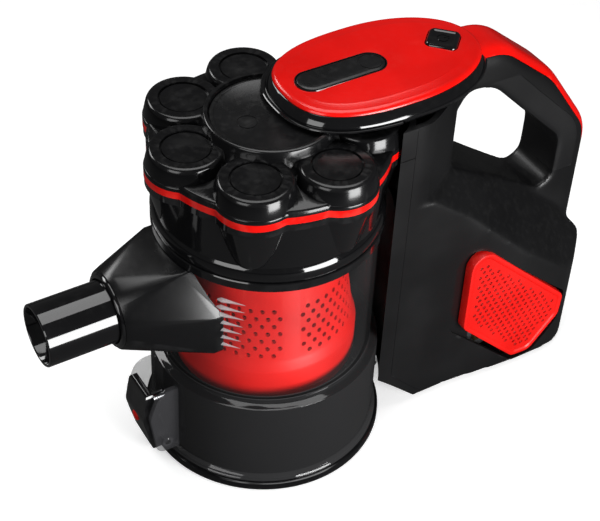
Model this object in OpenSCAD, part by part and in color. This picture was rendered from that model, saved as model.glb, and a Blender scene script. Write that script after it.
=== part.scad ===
// Handheld cyclonic vacuum: a clear dust bin with a ring of small cyclones on top, docked
// against a motor body with a closed handle. Millimetres, +Z up, origin at the centre of the
// bin's base. +X runs from the bin towards the handle, and the inlet tube points to -X.

/* [Bin] */
// Outer radius of the lower part of the dust bin
bin_r = 62; // [60:0.5:63]
// Outer radius of the upper part of the dust bin
bin_upper_r = 57.5; // [56:0.5:58]
// Height of the step between the two radii
bin_step_z = 59; // [52:1:64]
// Height of the top of the dust bin
bin_top_z = 139.6; // [138:0.2:139.6]
// Wall thickness of the dust bin
bin_wall = 2.2; // [1.6:0.2:3]

/* [Door] */
// Radius of the door flange
door_r = 65.8; // [64:0.2:66]
// Thickness of the door
door_t = 5; // [4:0.5:5]

/* [Cap] */
// Outer radius of the cap ring
cap_r = 59.8; // [59:0.2:60]
// Number of small cyclones, and of lobes on the cap
cyclones = 7; // [7]
// Radius of the circle that the lobe centres lie on
lobe_pitch_r = 46; // [45:0.5:46]
// Radius of one lobe
lobe_r = 20.5; // [19:0.5:20.5]
// Height of the lobes' flat tops
lobe_top_z = 199.6; // [198:0.2:199.6]

/* [Inlet] */
// Outer radius of the inlet tube at its mouth
tube_r = 16.4; // [15:0.1:16.4]
// Wall thickness of the inlet tube
tube_wall = 1.8; // [1.4:0.1:2]
// Distance of the tube's mouth from the bin axis
tube_reach = 129; // [120:1:140]
// Height of the tube's axis
tube_z = 113.4; // [112:0.2:114]

/* [Body] */
// Distance from the bin axis to the rear wall of the body
body_rear_x = 200; // [198:1:202]
// Half of the body's width at the motor
body_half_w = 45; // [45:0.5:46]
// Half of the column's width
column_half_w = 40.5; // [40:0.5:41]
// Thickness of the body's shells
shell_t = 2.5; // [2:0.25:2.5]
// Half of the handle's width
handle_half_w = 16; // [15:0.5:16]
// Height of the underside of the body's shells
belly_z = 2; // [1.5:0.5:2]

/* [Motor] */
// Distance of the motor shaft from the bin axis
motor_x = 128; // [126:1:129]
// Radius of the motor shaft
shaft_r = 3; // [2.5:0.5:3]
// Number of impeller blades
blades = 9; // [5:1:11]

/* [Hidden] */
$fn = 72;
hull_fn = 32;
gap = 0.1;
seam_gap = 0.15;

// Bin, door and latch
bin_floor_z = door_t + gap;
door_hinge = [68.5, 7];
door_pin_r = 1.5;
latch_pivot = [-67.5, 17];
latch_pin_r = 1.5;
latch_half_w = 11;
pivot = [70, 30];
pivot_pin_r = 2;
inlet_r = 15;
shroud_top_r = 38;
shroud_r = 46.5;
skirt_r = 49;

// Cap heights
cap_z = 140.6;
stripe_z = 184;
stripe_h = 4;
cover_z = stripe_z + stripe_h;
valley_r = 60.5;
valley_top_z = 196;
centre_r = 33;
centre_top_z = 204.8;
outlet_x = 18;

// Body clearances around the bin
cradle_r = 64.5;
column_skin_r = 67.5;
chamfer_z = 28.7;
chamfer_slope = 0.87;
column_seam_x = 59;
rim_z = 200;
cover_edge_z = 211.5;
nose_floor_z = 205.3;

// Motor levels
frame_z = [10, 72];
fan_z = [72.2, 94];
frame_r = 30;
fan_r = 34;

// Buttons
power_x = 99.6;
release_pivot = [22, 213];
pill_x = [22.4, 55.9];
pill_r = 8;
catch_pivot = [53, 202.1];

// Outlines as [x, z, corner radius] or [x, y, corner radius], anticlockwise
body_side = [
    [40, belly_z, 0], [body_rear_x, belly_z, 12], [body_rear_x, 66, 22], [168, 100, 60],
    [135, 125, 60], [100, 148, 12], [40, 148, 0],
];
body_plan = [
    [40, -column_half_w, 0], [100, -column_half_w, 60], [140, -body_half_w, 60],
    [178, -body_half_w, 26], [body_rear_x, -22, 24], [body_rear_x, 22, 24],
    [178, body_half_w, 26], [140, body_half_w, 60], [100, column_half_w, 60],
    [40, column_half_w, 0],
];
column_plan = [
    [40, -column_half_w, 0], [68, -column_half_w, 20], [96, -24, 20], [104, -10, 12],
    [104, 10, 12], [96, 24, 20], [68, column_half_w, 20], [40, column_half_w, 0],
];
handle_outer = [
    [92, 120, 0], [150, 60, 0], [body_rear_x - 1, 60, 0], [body_rear_x - 1, 138, 30],
    [168, 181, 60], [132, 210, 30], [92, 213.5, 0],
];
handle_opening = [
    [101, 148, 6], [176.5, 97, 9], [177, 136, 16], [150, 162, 60], [126, 186, 26],
    [109, 190, 8], [101, 176, 10],
];
grille_outline = [
    [103, 111, 9], [103, 47, 8], [143, 6.5, 7], [156, 6, 8], [174, 27, 8], [175, 42, 7],
];
// The red cover's edge: a superellipse that is blunter at its nose than at its tail
top_outline = [
    for (a = [0 : 9 : 351]) let (tail = cos(a) > 0, power = tail ? 0.952 : 0.769)
        [62 + (tail ? 56 : 55.5) * signed_power(cos(a), power), 34.8 * signed_power(sin(a), power), 0]
];
latch_ear = [[-71, 55, 9], [-77, 38, 9], [-73, 9.6, 5], [-50, 9.6, 0], [-50, 55, 0]];
door_ear = [
    [60, 5.3, 0], [66, 5.3, 0], [67, 3.8, 0], [70, 3.8, 2], [72, 7, 3], [70, 10.4, 2], [60, 14, 0],
];
pivot_hook = [
    [60, 22, 0], [69, 24.5, 2], [73.6, 25.5, 2], [74, 33, 3], [70, 34.5, 3], [60, 38, 0],
];
// Screw places as [x, z, depth of the head on the +Y side], and the feet's places
screw_spots = [[170, 13, 34], [190, 60, 28], [188, 88, 10], [93.5, 165, 14], [90, 22, 30]];
foot_spots = [[104, -28], [104, 28], [162, -28], [162, 28]];
rim_w = 3.5;

function signed_power(v, power) = sign(v) * pow(abs(v), power);
function unit(v) = v / norm(v);
function flat(p) = [p.x, p.y];
// Points of the arc that rounds the corner at p, between its neighbours a and b
function corner(a, p, b, r, n) =
    let (u = unit(a - p), w = unit(b - p), half = acos(u * w) / 2)
    let (c = p + unit(u + w) * r / sin(half), s = p + u * r / tan(half), e = p + w * r / tan(half))
    let (a0 = atan2(s.y - c.y, s.x - c.x), a1 = atan2(e.y - c.y, e.x - c.x))
    let (d = (a1 - a0 + 540) % 360 - 180)
    [for (i = [0 : n]) c + r * [cos(a0 + d * i / n), sin(a0 + d * i / n)]];
// The outline q with each corner rounded to its own radius
function rounded(q, n = 5) = [
    for (i = [0 : len(q) - 1])
        let (m = len(q), a = flat(q[(i + m - 1) % m]), p = flat(q[i]), b = flat(q[(i + 1) % m]))
        each q[i].z > 0 ? corner(a, p, b, q[i].z, n) : [p]
];
function left_normal(a, b) = let (u = unit(b - a)) [-u.y, u.x];
// The outline q with every side moved in by d, or out where d is negative
function inset(q, d) = [
    for (i = [0 : len(q) - 1])
        let (m = len(q), a = flat(q[(i + m - 1) % m]), p = flat(q[i]), b = flat(q[(i + 1) % m]))
        let (n1 = left_normal(a, p), n2 = left_normal(p, b), turn = sign(cross(p - a, b - p)))
        let (moved = p + (n1 + n2) * d / (1 + n1 * n2))
        [moved.x, moved.y, q[i].z > 0 ? max(q[i].z - turn * d, 0.5) : 0]
];

// Extrudes an outline drawn in X and Z from y0 to y1
module along_y(y0, y1) {
    rotate([90, 0, 0]) translate([0, 0, -y1]) linear_extrude(y1 - y0) children();
}
// Moves its children to the point p of the XZ plane
module at_axis(p) { translate([p.x, 0, p.y]) children(); }
module pin_y(p, r, half) {
    at_axis(p) rotate([90, 0, 0]) cylinder(r = r, h = 2 * half, center = true);
}
module box(lo, hi) { translate(lo) cube(hi - lo); }
module ring(r_out, r_in, z0, z1) {
    translate([0, 0, z0]) difference() {
        cylinder(r = r_out, h = z1 - z0);
        translate([0, 0, -1]) cylinder(r = r_in, h = z1 - z0 + 2);
    }
}
module each_lobe() {
    for (i = [0 : cyclones - 1])
        rotate(180 + i * 360 / cyclones) translate([lobe_pitch_r, 0, 0]) children();
}
module pill(grow, z0, z1) {
    for (x = pill_x) translate([x, 0, z0]) cylinder(r = pill_r + grow, h = z1 - z0);
    box([pill_x[0], -pill_r - grow, z0], [pill_x[1], pill_r + grow, z1]);
}
module diamond(half, z0, z1) {
    corner_r = 3.5;
    outline = [for (a = [180, 270, 0, 90]) [half * cos(a), half * sin(a), corner_r]];
    translate([power_x, 0, z0]) linear_extrude(z1 - z0) polygon(rounded(outline));
}

// ---- Bin -------------------------------------------------------------------------------
module bin_container() {
    color([0.55, 0.57, 0.6, 0.4]) difference() {
        union() {
            rotate_extrude() polygon([
                [bin_r - bin_wall, bin_floor_z], [bin_r + 2, bin_floor_z], [bin_r + 2, 8],
                [bin_r, 9.5], [bin_r, bin_step_z], [bin_upper_r, bin_step_z + 1.5],
                [bin_upper_r, bin_top_z], [bin_upper_r - bin_wall, bin_top_z],
                [bin_upper_r - bin_wall, bin_step_z - 1], [bin_r - bin_wall, bin_step_z - 2.5],
            ]);
            for (y = [-14.6, 11.5]) bin_ear(y, 3.1, latch_ear);
            for (y = [-11, 7.8]) bin_ear(y, 3.2, door_ear);
            for (y = [-12, 8]) bin_ear(y, 4, pivot_hook);
        }
        translate([-bin_upper_r - 8, 0, tube_z]) rotate([0, 90, 0]) cylinder(r = inlet_r, h = 14);
        pin_y(latch_pivot, latch_pin_r + 0.02, 20);
        pin_y(door_hinge, door_pin_r + 0.02, 20);
        pin_y(pivot, pivot_pin_r + 0.06, 20);
        box([pivot.x - pivot_pin_r - 0.06, -20, 20], [pivot.x + pivot_pin_r + 0.06, 20, pivot.y]);
    }
}
// An ear t thick from y on, with an outline in X and Z, that stands on the bin's outer wall
module bin_ear(y, t, outline) {
    difference() {
        along_y(y, y + t) polygon(rounded(outline));
        cylinder(r = bin_r - bin_wall + 0.5, h = 80);
    }
}
module bin_door() {
    color([0.12, 0.12, 0.13]) {
        difference() {
            union() {
                rotate_extrude() polygon([
                    [0, 0], [door_r - 1.5, 0], [door_r, 1.5], [door_r, door_t - 1.2],
                    [door_r - 1.2, door_t], [0, door_t],
                ]);
                ring(57.6, 54.6, door_t - 0.5, 10);
                difference() {
                    union() {
                        pin_y(door_hinge, 3.2, 7.5);
                        box([62, -7.5, 0.6], [door_hinge.x + 1, 7.5, 4.6]);
                    }
                    translate([0, 0, door_t]) cylinder(r = bin_r + 2.3, h = 10);
                }
            }
            pin_y(door_hinge, door_pin_r + 0.06, 8);
        }
    }
}
module door_seal() { color([0.2, 0.2, 0.2]) ring(59.6, 57.7, 6, 9); }
module door_hinge_pin() { color("silver") pin_y(door_hinge, door_pin_r, 11.5); }
module latch_pin() { color("silver") pin_y(latch_pivot, latch_pin_r, 15.4); }
module latch_lever() {
    color([0.06, 0.06, 0.07]) difference() {
        along_y(-latch_half_w, latch_half_w) polygon(rounded([
            [-66.6, 0.6, 0.8], [-64.7, 8, 1], [-65, 20, 2], [-70.5, 24, 3], [-72.5, 51, 1.5],
            [-76.5, 52.5, 2], [-79.5, 34, 12], [-75, 14, 8], [-70.5, 0.6, 1],
        ]));
        pin_y(latch_pivot, latch_pin_r + 0.06, 12);
        translate([-63, 0, 38]) rotate([0, 90, 0]) translate([0, 0, -11]) cylinder(r = 3.4, h = 3);
    }
}
module latch_spring() {
    color("silver") translate([-71.6, 0, 38]) rotate([0, 90, 0]) ring(3, 2.3, 0, 71.6 - bin_r - 0.4);
}
module inlet_duct() {
    color([0.04, 0.04, 0.04]) difference() {
        hull() {
            translate([-91, 0, tube_z]) rotate([0, 90, 0]) cylinder(r = 21, h = 1, $fn = hull_fn);
            translate([-86, 0, tube_z]) rotate([0, 90, 0]) cylinder(r = 22.4, h = 1, $fn = hull_fn);
            for (y = [-1, 1]) {
                translate([-60, y * 19, 138.5]) rotate([0, 90, 0]) cylinder(r = 1.8, h = 18, $fn = 16);
                translate([-50, y * 33.5, 118]) rotate([0, 90, 0]) cylinder(r = 2.4, h = 6, $fn = 16);
                translate([-50, y * 33.5, 96]) rotate([0, 90, 0]) cylinder(r = 2.4, h = 6, $fn = 16);
            }
        }
        translate([0, 0, 80]) cylinder(r = bin_upper_r + gap, h = 70, $fn = 96);
        translate([-95, 0, tube_z]) rotate([0, 90, 0]) cylinder(r = 17.3, h = 23.1);
        translate([-95, 0, tube_z]) rotate([0, 90, 0]) cylinder(r = inlet_r, h = 60);
        hull() {
            translate([-71, 0, tube_z]) rotate([0, 90, 0]) cylinder(r = 14.9, h = 1, $fn = hull_fn);
            translate([-50, 0, tube_z]) rotate([0, 90, 0]) cylinder(r = 16, h = 6, $fn = hull_fn);
        }
    }
}
module inlet_tube() {
    color([0.04, 0.04, 0.04]) translate([-tube_reach, 0, tube_z]) rotate([0, 90, 0]) difference() {
        union() {
            cylinder(r = tube_r, h = 34);
            translate([0, 0, 34]) cylinder(r1 = tube_r, r2 = 17.2, h = 10);
            translate([0, 0, 44]) cylinder(r = 17.2, h = 12.8);
        }
        translate([0, 0, -1]) cylinder(r = tube_r - tube_wall, h = 70);
    }
}
module inlet_seal() {
    color([0.2, 0.2, 0.2]) translate([-72.1, 0, tube_z]) rotate([0, 90, 0]) ring(17.2, 15.1, 0, 0.2);
}
module bin_top_seal() {
    color([0.2, 0.2, 0.2])
        ring(bin_upper_r - 0.2, bin_upper_r - bin_wall, bin_top_z + 0.05, cap_z - 0.05);
}

// ---- Cyclone and cap -------------------------------------------------------------------
module cyclone_shroud() {
    hole_r = 1.8;
    color([0.85, 0.05, 0.03]) difference() {
        rotate_extrude() polygon([
            [shroud_r - 2, 78], [skirt_r - 2, 72], [skirt_r - 2, 54], [skirt_r, 54], [skirt_r, 74],
            [shroud_r, 80], [shroud_top_r, cap_z - 0.1], [shroud_top_r - 2, cap_z - 0.1],
        ]);
        for (side = [0 : 1], row = [0 : 2], col = [0 : 2])
            rotate(side * 180 + 20 + col * 22) translate([shroud_top_r - 5, 0, 88 + row * 10])
                rotate([0, 90, 0]) cylinder(r = hole_r, h = skirt_r - shroud_top_r + 5, $fn = 16);
    }
}
module cyclone_plate() {
    color([0.1, 0.1, 0.1]) difference() {
        ring(54.8, 10, cap_z, cap_z + 2.4);
        each_lobe() translate([-8, 0, 130]) cylinder(r = 4.1, h = 20);
    }
}
module cyclone_cones() {
    color([0.15, 0.15, 0.16]) each_lobe() translate([-8, 0, 0]) difference() {
        union() {
            translate([0, 0, 143.1]) cylinder(r1 = 5.2, r2 = 11, h = 30);
            translate([0, 0, 173.1]) cylinder(r = 11, h = 8);
        }
        translate([0, 0, 143]) cylinder(r1 = 4, r2 = 9.8, h = 30.2);
        translate([0, 0, 173.1]) cylinder(r = 9.8, h = 9);
    }
}
module vortex_plate() {
    color([0.15, 0.15, 0.16]) difference() {
        union() {
            translate([0, 0, 181.2]) cylinder(r = 56.8, h = 2.3);
            each_lobe() translate([-8, 0, 168]) cylinder(r = 5, h = 14);
        }
        each_lobe() translate([-8, 0, 160]) cylinder(r = 4, h = 30);
        translate([0, 0, 175]) cylinder(r = 8, h = 10);
    }
}
module flower(grow) {
    circle(r = valley_r + grow);
    each_lobe() circle(r = lobe_r + grow);
}
module cap_housing() {
    flute_z = 150;
    collar_z = stripe_z - 4;
    color([0.04, 0.04, 0.04]) difference() {
        union() {
            rotate_extrude() polygon([
                [57, cap_z], [cap_r, cap_z], [cap_r, cap_z + 5], [cap_r - 1.3, cap_z + 5.4],
                [cap_r - 1.3, cap_z + 6], [cap_r, cap_z + 6.4], [cap_r, cap_z + 13],
                [valley_r - 0.5, collar_z + 1], [50, collar_z + 1], [50, collar_z - 20],
                [54.9, cap_z + 8], [54.9, cap_z],
            ]);
            each_lobe() translate([0, 0, flute_z])
                cylinder(r1 = 12, r2 = lobe_r - 0.8, h = collar_z + 1 - flute_z);
            translate([0, 0, collar_z]) linear_extrude(stripe_z - collar_z) flower(0);
        }
        translate([0, 0, cap_z + 2.5]) cylinder(r = 57, h = 60);
    }
}
module cap_stripe() {
    color([0.9, 0.06, 0.04]) translate([0, 0, stripe_z]) linear_extrude(stripe_h) difference() {
        flower(0);
        circle(r = 51.5);
    }
}
module cap_cover() {
    color([0.07, 0.07, 0.07]) difference() {
        union() {
            translate([0, 0, cover_z]) linear_extrude(valley_top_z - cover_z) flower(0);
            each_lobe() translate([0, 0, valley_top_z - 1])
                cylinder(r1 = lobe_r - 0.8, r2 = lobe_r - 3.5, h = lobe_top_z - valley_top_z + 1);
            translate([0, 0, 190]) cylinder(r = centre_r, h = centre_top_z - 190);
        }
        each_lobe() {
            translate([0, 0, lobe_top_z - 1.2]) cylinder(r = 12.5, h = 5);
            translate([0, 0, cover_z - 1]) cylinder(r = 11.8, h = 8);
        }
        translate([0, 0, 200]) cylinder(r = centre_r - 2.6, h = 10);
        translate([0, 0, cover_z - 1]) cylinder(r = 29, h = 20);
    }
}
module centre_lid() {
    color([0.08, 0.08, 0.08]) difference() {
        union() {
            translate([0, 0, 200.1]) cylinder(r = centre_r - 2.8, h = 2.9);
            ring(28.8, 26.8, 189, 200.2);
        }
        translate([outlet_x, 0, 190]) cylinder(r = 10, h = 20);
    }
}
module pre_filter() { color([0.25, 0.25, 0.28]) translate([0, 0, 189]) cylinder(r = 26.6, h = 10.9); }
module outlet_seal() {
    color([0.2, 0.2, 0.2]) translate([outlet_x, 0, 0]) ring(11.8, 10.1, 203.1, nose_floor_z - 0.1);
}

// ---- Latching parts that move ----------------------------------------------------------
module release_button() {
    color([0.05, 0.05, 0.05]) {
        pill(-0.35, 212.2, 215.4);
        translate([60, 0, 203.5]) cylinder(r = 1.2, h = 9);
        pin_y([release_pivot.x, 212.6], 1.2, 7.6);
    }
}
module release_catch() {
    color([0.3, 0.3, 0.32]) {
        along_y(-4, 4) polygon([[44, 200.1], [47, 201.3], [63, 201.3], [63, 203], [44, 203]]);
        pin_y(catch_pivot, 0.8, 6.5);
    }
}
module release_spring() { color("silver") translate([40, 0, 0]) ring(3, 2.4, 207.5, 212.1); }
module power_button() {
    color([0.05, 0.05, 0.05]) {
        diamond(10.2, 211.6, 216);
        translate([power_x, 0, 207]) cylinder(r = 2, h = 5);
    }
}
module power_spring() { color("silver") translate([power_x, 0, 0]) ring(3.4, 2.8, 205.1, 211.5); }
module power_switch() {
    color([0.15, 0.15, 0.2]) {
        box([power_x - 7, -6, 193], [power_x + 5, 6, 205]);
        translate([power_x, 0, 204.9]) cylinder(r = 1.8, h = 0.5);
    }
}

// ---- Body ------------------------------------------------------------------------------
// Space kept for the bin: grow moves every face away from the bin axis
module bin_space(grow) {
    r = cradle_r + grow;
    rotate_extrude() polygon([
        [0, -2], [r + (chamfer_z + 2) * chamfer_slope, -2], [r, chamfer_z], [r, 260], [0, 260],
    ]);
    for (a = [-0.5, 0.5]) rotate(a * 360 / cyclones) translate([lobe_pitch_r, 0, 145])
        cylinder(r = lobe_r + 1.5 + grow, h = 100);
}
// Space that the front column takes out of the body
module dock_space(extra) {
    r = column_skin_r + extra;
    rotate_extrude() polygon([
        [0, -1], [95 + extra, -1], [72 + extra, 27], [r, 31], [r, 250], [0, 250],
    ]);
    for (a = [-0.5, 0.5]) rotate(a * 360 / cyclones) translate([lobe_pitch_r, 0, 142])
        cylinder(r = lobe_r + 4.5 + extra, h = 90);
    box([0, -60, -3], [column_seam_x + extra, 60, rim_z + 3]);
}
// Everything under the body's sloping roof, which is flat in the middle and falls to its sides
module roof_prism(d) {
    slope = 39;
    ridge = [for (p = [[-23, 7], [-47, -17], [-47, -260]]) [p.x + d, p.y - d]];
    translate([100, 0, 148]) rotate([0, slope, 0]) rotate([90, 0, 90]) translate([0, 0, -120])
        linear_extrude(300) polygon([each ridge, for (i = [2 : -1 : 0]) [-ridge[i].x, ridge[i].y]]);
}
module torso(d) {
    intersection() {
        along_y(-60, 60) polygon(rounded(inset(body_side, d)));
        linear_extrude(220) polygon(rounded(inset(body_plan, d)));
        roof_prism(d);
    }
}
module column(d) {
    foot_z = 90;
    translate([0, 0, foot_z]) linear_extrude(rim_z - foot_z) polygon(rounded(inset(column_plan, d)));
}
module handle_frame() {
    along_y(-handle_half_w, handle_half_w) polygon(rounded(inset(handle_outer, 3)));
    along_y(-handle_half_w + 4, handle_half_w - 4) polygon(rounded(handle_outer));
}
module opening_prism(d, half_w) {
    along_y(-half_w, half_w) polygon(rounded(inset(handle_opening, d)));
}
// Where the grip insert takes the handle's inner side
module grip_zone(extra) {
    front = 112 - extra;
    intersection() {
        opening_prism(-13 - extra, 30);
        box([front, -30, front], [190 + extra, 30, 190]);
        along_y(-30, 30) polygon([
            [front, 220], [front, 162], [150, 134 - extra], [175, front], [240, front], [240, 220],
        ]);
    }
}
// Where the red spine lies along the handle's back
module spine_zone(extra) {
    difference() {
        box([98, -60, 128 - extra], [240, 60, 240]);
        along_y(-60, 60) polygon(rounded(inset(handle_outer, 4.5 + extra)));
    }
}
module shell_pair() {
    difference() {
        union() {
            torso(0);
            column(0);
            handle_frame();
        }
        difference() {
            union() {
                torso(shell_t);
                translate([0, 0, 0.5]) column(shell_t);
                along_y(-handle_half_w + shell_t, handle_half_w - shell_t)
                    polygon(rounded(inset(handle_outer, 7.5)));
            }
            opening_prism(-shell_t, 60);
            for (s = screw_spots) pin_y([s.x, s.y], 4, 60);
        }
        opening_prism(0, 60);
        grip_zone(seam_gap);
        spine_zone(seam_gap);
        box([0, -60, rim_z], [112, 60, 240]);
        dock_space(seam_gap);
        along_y(-60, 60) polygon(rounded(inset(grille_outline, -0.2)));
        translate([190, 0, 22]) rotate([0, 90, 0]) cylinder(r = 5, h = 20);
    }
}
module left_shell() {
    color([0.08, 0.08, 0.08]) difference() {
        intersection() {
            shell_pair();
            box([0, -60, 0], [240, -0.02, 240]);
        }
        for (s = screw_spots)
            at_axis([s.x, s.y]) rotate([90, 0, 0]) cylinder(r = 1.3, h = min(s.z, 12) - 1);
    }
}
module right_shell() {
    color([0.08, 0.08, 0.08]) difference() {
        intersection() {
            shell_pair();
            box([0, 0.02, 0], [240, 60, 240]);
        }
        for (s = screw_spots) at_axis([s.x, s.y]) rotate([-90, 0, 0]) {
            cylinder(r = 1.7, h = 60);
            translate([0, 0, s.z - 2]) cylinder(r = 3.2, h = 60);
        }
    }
}
module shell_screws() {
    color("silver") for (s = screw_spots) at_axis([s.x, s.y]) {
        rotate([-90, 0, 0]) cylinder(r = 1.5, h = s.z - 1.9);
        translate([0, 1, 0]) rotate([90, 0, 0]) cylinder(r = 1.2, h = min(s.z, 12) - 0.5);
        translate([0, s.z - 1.9, 0]) rotate([-90, 0, 0]) cylinder(r = 2.8, h = 2);
    }
}
module front_column() {
    color([0.05, 0.05, 0.05]) difference() {
        union() {
            intersection() {
                union() {
                    torso(0);
                    column(0);
                }
                dock_space(0);
            }
            for (y = [-16.5, 16.5]) translate([62, y - 2.2, 23]) cube([13, 4.4, 13]);
        }
        bin_space(0);
        box([55, -14.2, 20], [85, 14.2, 42]);
        pin_y(pivot, pivot_pin_r + 0.02, 18.8);
    }
}
module bin_pivot_pin() { color("silver") pin_y(pivot, pivot_pin_r, 18.6); }
module top_rim() {
    color([0.04, 0.04, 0.04]) difference() {
        union() {
            difference() {
                translate([0, 0, rim_z + 0.1]) linear_extrude(cover_edge_z - rim_z - 0.2)
                    polygon(rounded(inset(top_outline, -rim_w)));
                translate([0, 0, rim_z]) linear_extrude(20) polygon(rounded(inset(top_outline, 0.5)));
            }
            intersection() {
                translate([0, 0, nose_floor_z]) linear_extrude(2)
                    polygon(rounded(inset(top_outline, 1 - rim_w)));
                box([0, -60, 200], [column_skin_r, 60, 240]);
            }
            intersection() {
                ring(column_skin_r, cradle_r, rim_z + 0.1, nose_floor_z + 1);
                box([50, -36, 200], [80, 36, 240]);
            }
        }
        box([0, -60, 199], [50, 60, nose_floor_z]);
        translate([0, 0, 190]) cylinder(r = cradle_r - 0.01, h = nose_floor_z - 190);
        translate([outlet_x, 0, 200]) cylinder(r = 10, h = 10);
        translate([60, 0, 200]) cylinder(r = 2, h = 10);
        box([98, -handle_half_w - 0.2, 199], [140, handle_half_w + 0.2, 240]);
    }
    for (y = [-1, 1]) translate([catch_pivot.x, y * 7.4, 0]) difference() {
        box([-2.5, -1, 200.6], [2.5, 1, nose_floor_z]);
        translate([0, 0, catch_pivot.y]) rotate([90, 0, 0]) cylinder(r = 0.87, h = 5, center = true);
    }
    for (y = [-1, 1]) translate([release_pivot.x, y * 9.6, 0]) difference() {
        box([-2.5, -1.2, nose_floor_z + 2], [2.5, 1.2, 211]);
        translate([0, 0, 212.6]) rotate([90, 0, 0]) cylinder(r = 1.4, h = 5, center = true);
    }
}
module top_cover() {
    color([0.9, 0.03, 0.02]) {
        difference() {
            hull() {
                translate([0, 0, cover_edge_z]) linear_extrude(0.8) polygon(rounded(top_outline));
                translate([0, 0, 214.4]) linear_extrude(0.4) polygon(rounded(inset(top_outline, 7)));
            }
            hull() {
                translate([0, 0, cover_edge_z - 1]) linear_extrude(1)
                    polygon(rounded(inset(top_outline, 2.5)));
                translate([0, 0, 212]) linear_extrude(0.5) polygon(rounded(inset(top_outline, 9)));
            }
            pill(0, 205, 220);
            diamond(10.8, 205, 220);
        }
        difference() {
            intersection() {
                handle_frame();
                spine_zone(-0.15);
                box([104, -handle_half_w, 128], [240, handle_half_w, cover_edge_z - 0.05]);
            }
            diamond(10.8, 205, 220);
        }
    }
}
module grip_insert() {
    color([0.12, 0.12, 0.12]) difference() {
        intersection() {
            handle_frame();
            grip_zone(0);
        }
        opening_prism(0, 60);
        difference() {
            opening_prism(-20, handle_half_w - shell_t);
            opening_prism(-2.6, 60);
        }
    }
}
module left_grille() {
    color([0.85, 0.05, 0.03]) difference() {
        along_y(-body_half_w + 0.2, -body_half_w + 2.4) polygon(rounded(grille_outline));
        for (i = [0 : 3], k = [0 : 3]) pin_y([114 + i * 14, 88 - k * 14 - i * 8], 1.5, 60);
    }
}
module right_grille() { mirror([0, 1, 0]) left_grille(); }
module left_exhaust_filter() {
    color([0.85, 0.85, 0.82]) along_y(-body_half_w + 2.6, -body_half_w + 7.6)
        polygon(rounded(inset(grille_outline, 2)));
}
module right_exhaust_filter() { mirror([0, 1, 0]) left_exhaust_filter(); }
module air_duct() {
    color([0.15, 0.15, 0.16]) difference() {
        union() {
            box([69.5, -20, 118], [88, 20, 192]);
            hull() {
                box([69.5, -20, 110], [88, 20, 119]);
                translate([motor_x, 0, fan_z[1] + 2.2]) cylinder(r = 16, h = 3, $fn = hull_fn);
            }
        }
        box([71, -18.5, 117], [86.5, 18.5, 193]);
        hull() {
            box([71, -18.5, 112], [86.5, 18.5, 118]);
            translate([motor_x, 0, fan_z[1] + 2.1]) cylinder(r = 14.5, h = 1.5, $fn = hull_fn);
        }
    }
}

// ---- Motor -----------------------------------------------------------------------------
module at_motor() { translate([motor_x, 0, 0]) children(); }
module motor_frame() {
    color([0.6, 0.6, 0.62]) at_motor() difference() {
        union() {
            ring(frame_r, frame_r - 1.5, frame_z[0], frame_z[1]);
            ring(frame_r, 8.02, frame_z[0], frame_z[0] + 5.5);
            ring(frame_r, 9.02, frame_z[1] - 7, frame_z[1]);
        }
        for (a = [45 : 90 : 315]) rotate(a) translate([18, -6, 5]) cube([9, 12, 80]);
        for (a = [90, 270]) rotate(a) translate([20, -4.6, 17]) cube([20, 9.2, 8.2]);
    }
}
module motor_field() { color([0.45, 0.45, 0.48]) at_motor() ring(frame_r - 1.6, 16.4, 30, 58); }
module fan_cover() {
    color([0.7, 0.7, 0.72]) at_motor() difference() {
        ring(fan_r, 14, fan_z[0], fan_z[1]);
        translate([0, 0, fan_z[0] + 1.5]) cylinder(r = fan_r - 1.2, h = fan_z[1] - fan_z[0] - 3);
        for (a = [0 : 45 : 315]) rotate(a) translate([25, 0, fan_z[0] - 1]) cylinder(r = 3, h = 3);
    }
}
module lower_bearing() {
    color("silver") at_motor() ring(8, shaft_r + 0.04, frame_z[0] + 0.2, frame_z[0] + 5.2);
}
module upper_bearing() {
    color("silver") at_motor() ring(9, shaft_r + 0.04, frame_z[1] - 6.8, frame_z[1] - 0.8);
}
module brush_holders() {
    color([0.75, 0.6, 0.25]) at_motor() for (a = [90, 270]) rotate(a) difference() {
        translate([12, -4.5, 17.1]) cube([20, 9, 8]);
        translate([10, -3, 18.5]) cube([24, 6, 5.2]);
    }
}
module carbon_brushes() {
    color([0.1, 0.1, 0.1]) at_motor() for (a = [90, 270])
        rotate(a) translate([9.4, -2.9, 18.6]) cube([18, 5.8, 5]);
}
module lower_motor_mount() {
    color([0.2, 0.2, 0.2]) at_motor() ring(22, 12, belly_z + shell_t + 0.05, frame_z[0] - 0.05);
}
module upper_motor_mount() {
    color([0.2, 0.2, 0.2]) at_motor() ring(18, 14.6, fan_z[1] + 0.05, fan_z[1] + 2.1);
}
module armature_shaft() {
    color("silver") at_motor() translate([0, 0, frame_z[0] - 0.5]) cylinder(r = shaft_r, h = 82);
}
module armature_core() { color([0.5, 0.35, 0.2]) at_motor() ring(15.6, shaft_r + 0.01, 30, 58); }
module commutator() { color([0.7, 0.4, 0.2]) at_motor() ring(9, shaft_r + 0.01, 16.5, 26); }
module impeller() {
    color([0.75, 0.75, 0.78]) at_motor() {
        ring(31, shaft_r + 0.01, 76, 77.2);
        ring(6, shaft_r + 0.01, 77, 90);
        for (i = [0 : blades - 1]) rotate(i * 360 / blades) translate([5.5, -0.5, 77]) cube([25, 1, 10]);
    }
}
module rubber_feet() {
    color([0.15, 0.15, 0.15]) for (p = foot_spots)
        translate([p.x, p.y, 0]) cylinder(r = 6, h = belly_z - 0.02);
}
module cord_gland() {
    color([0.1, 0.1, 0.1]) translate([body_rear_x - 4, 0, 22]) rotate([0, 90, 0]) ring(4.9, 3.2, 0, 6);
}

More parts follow.
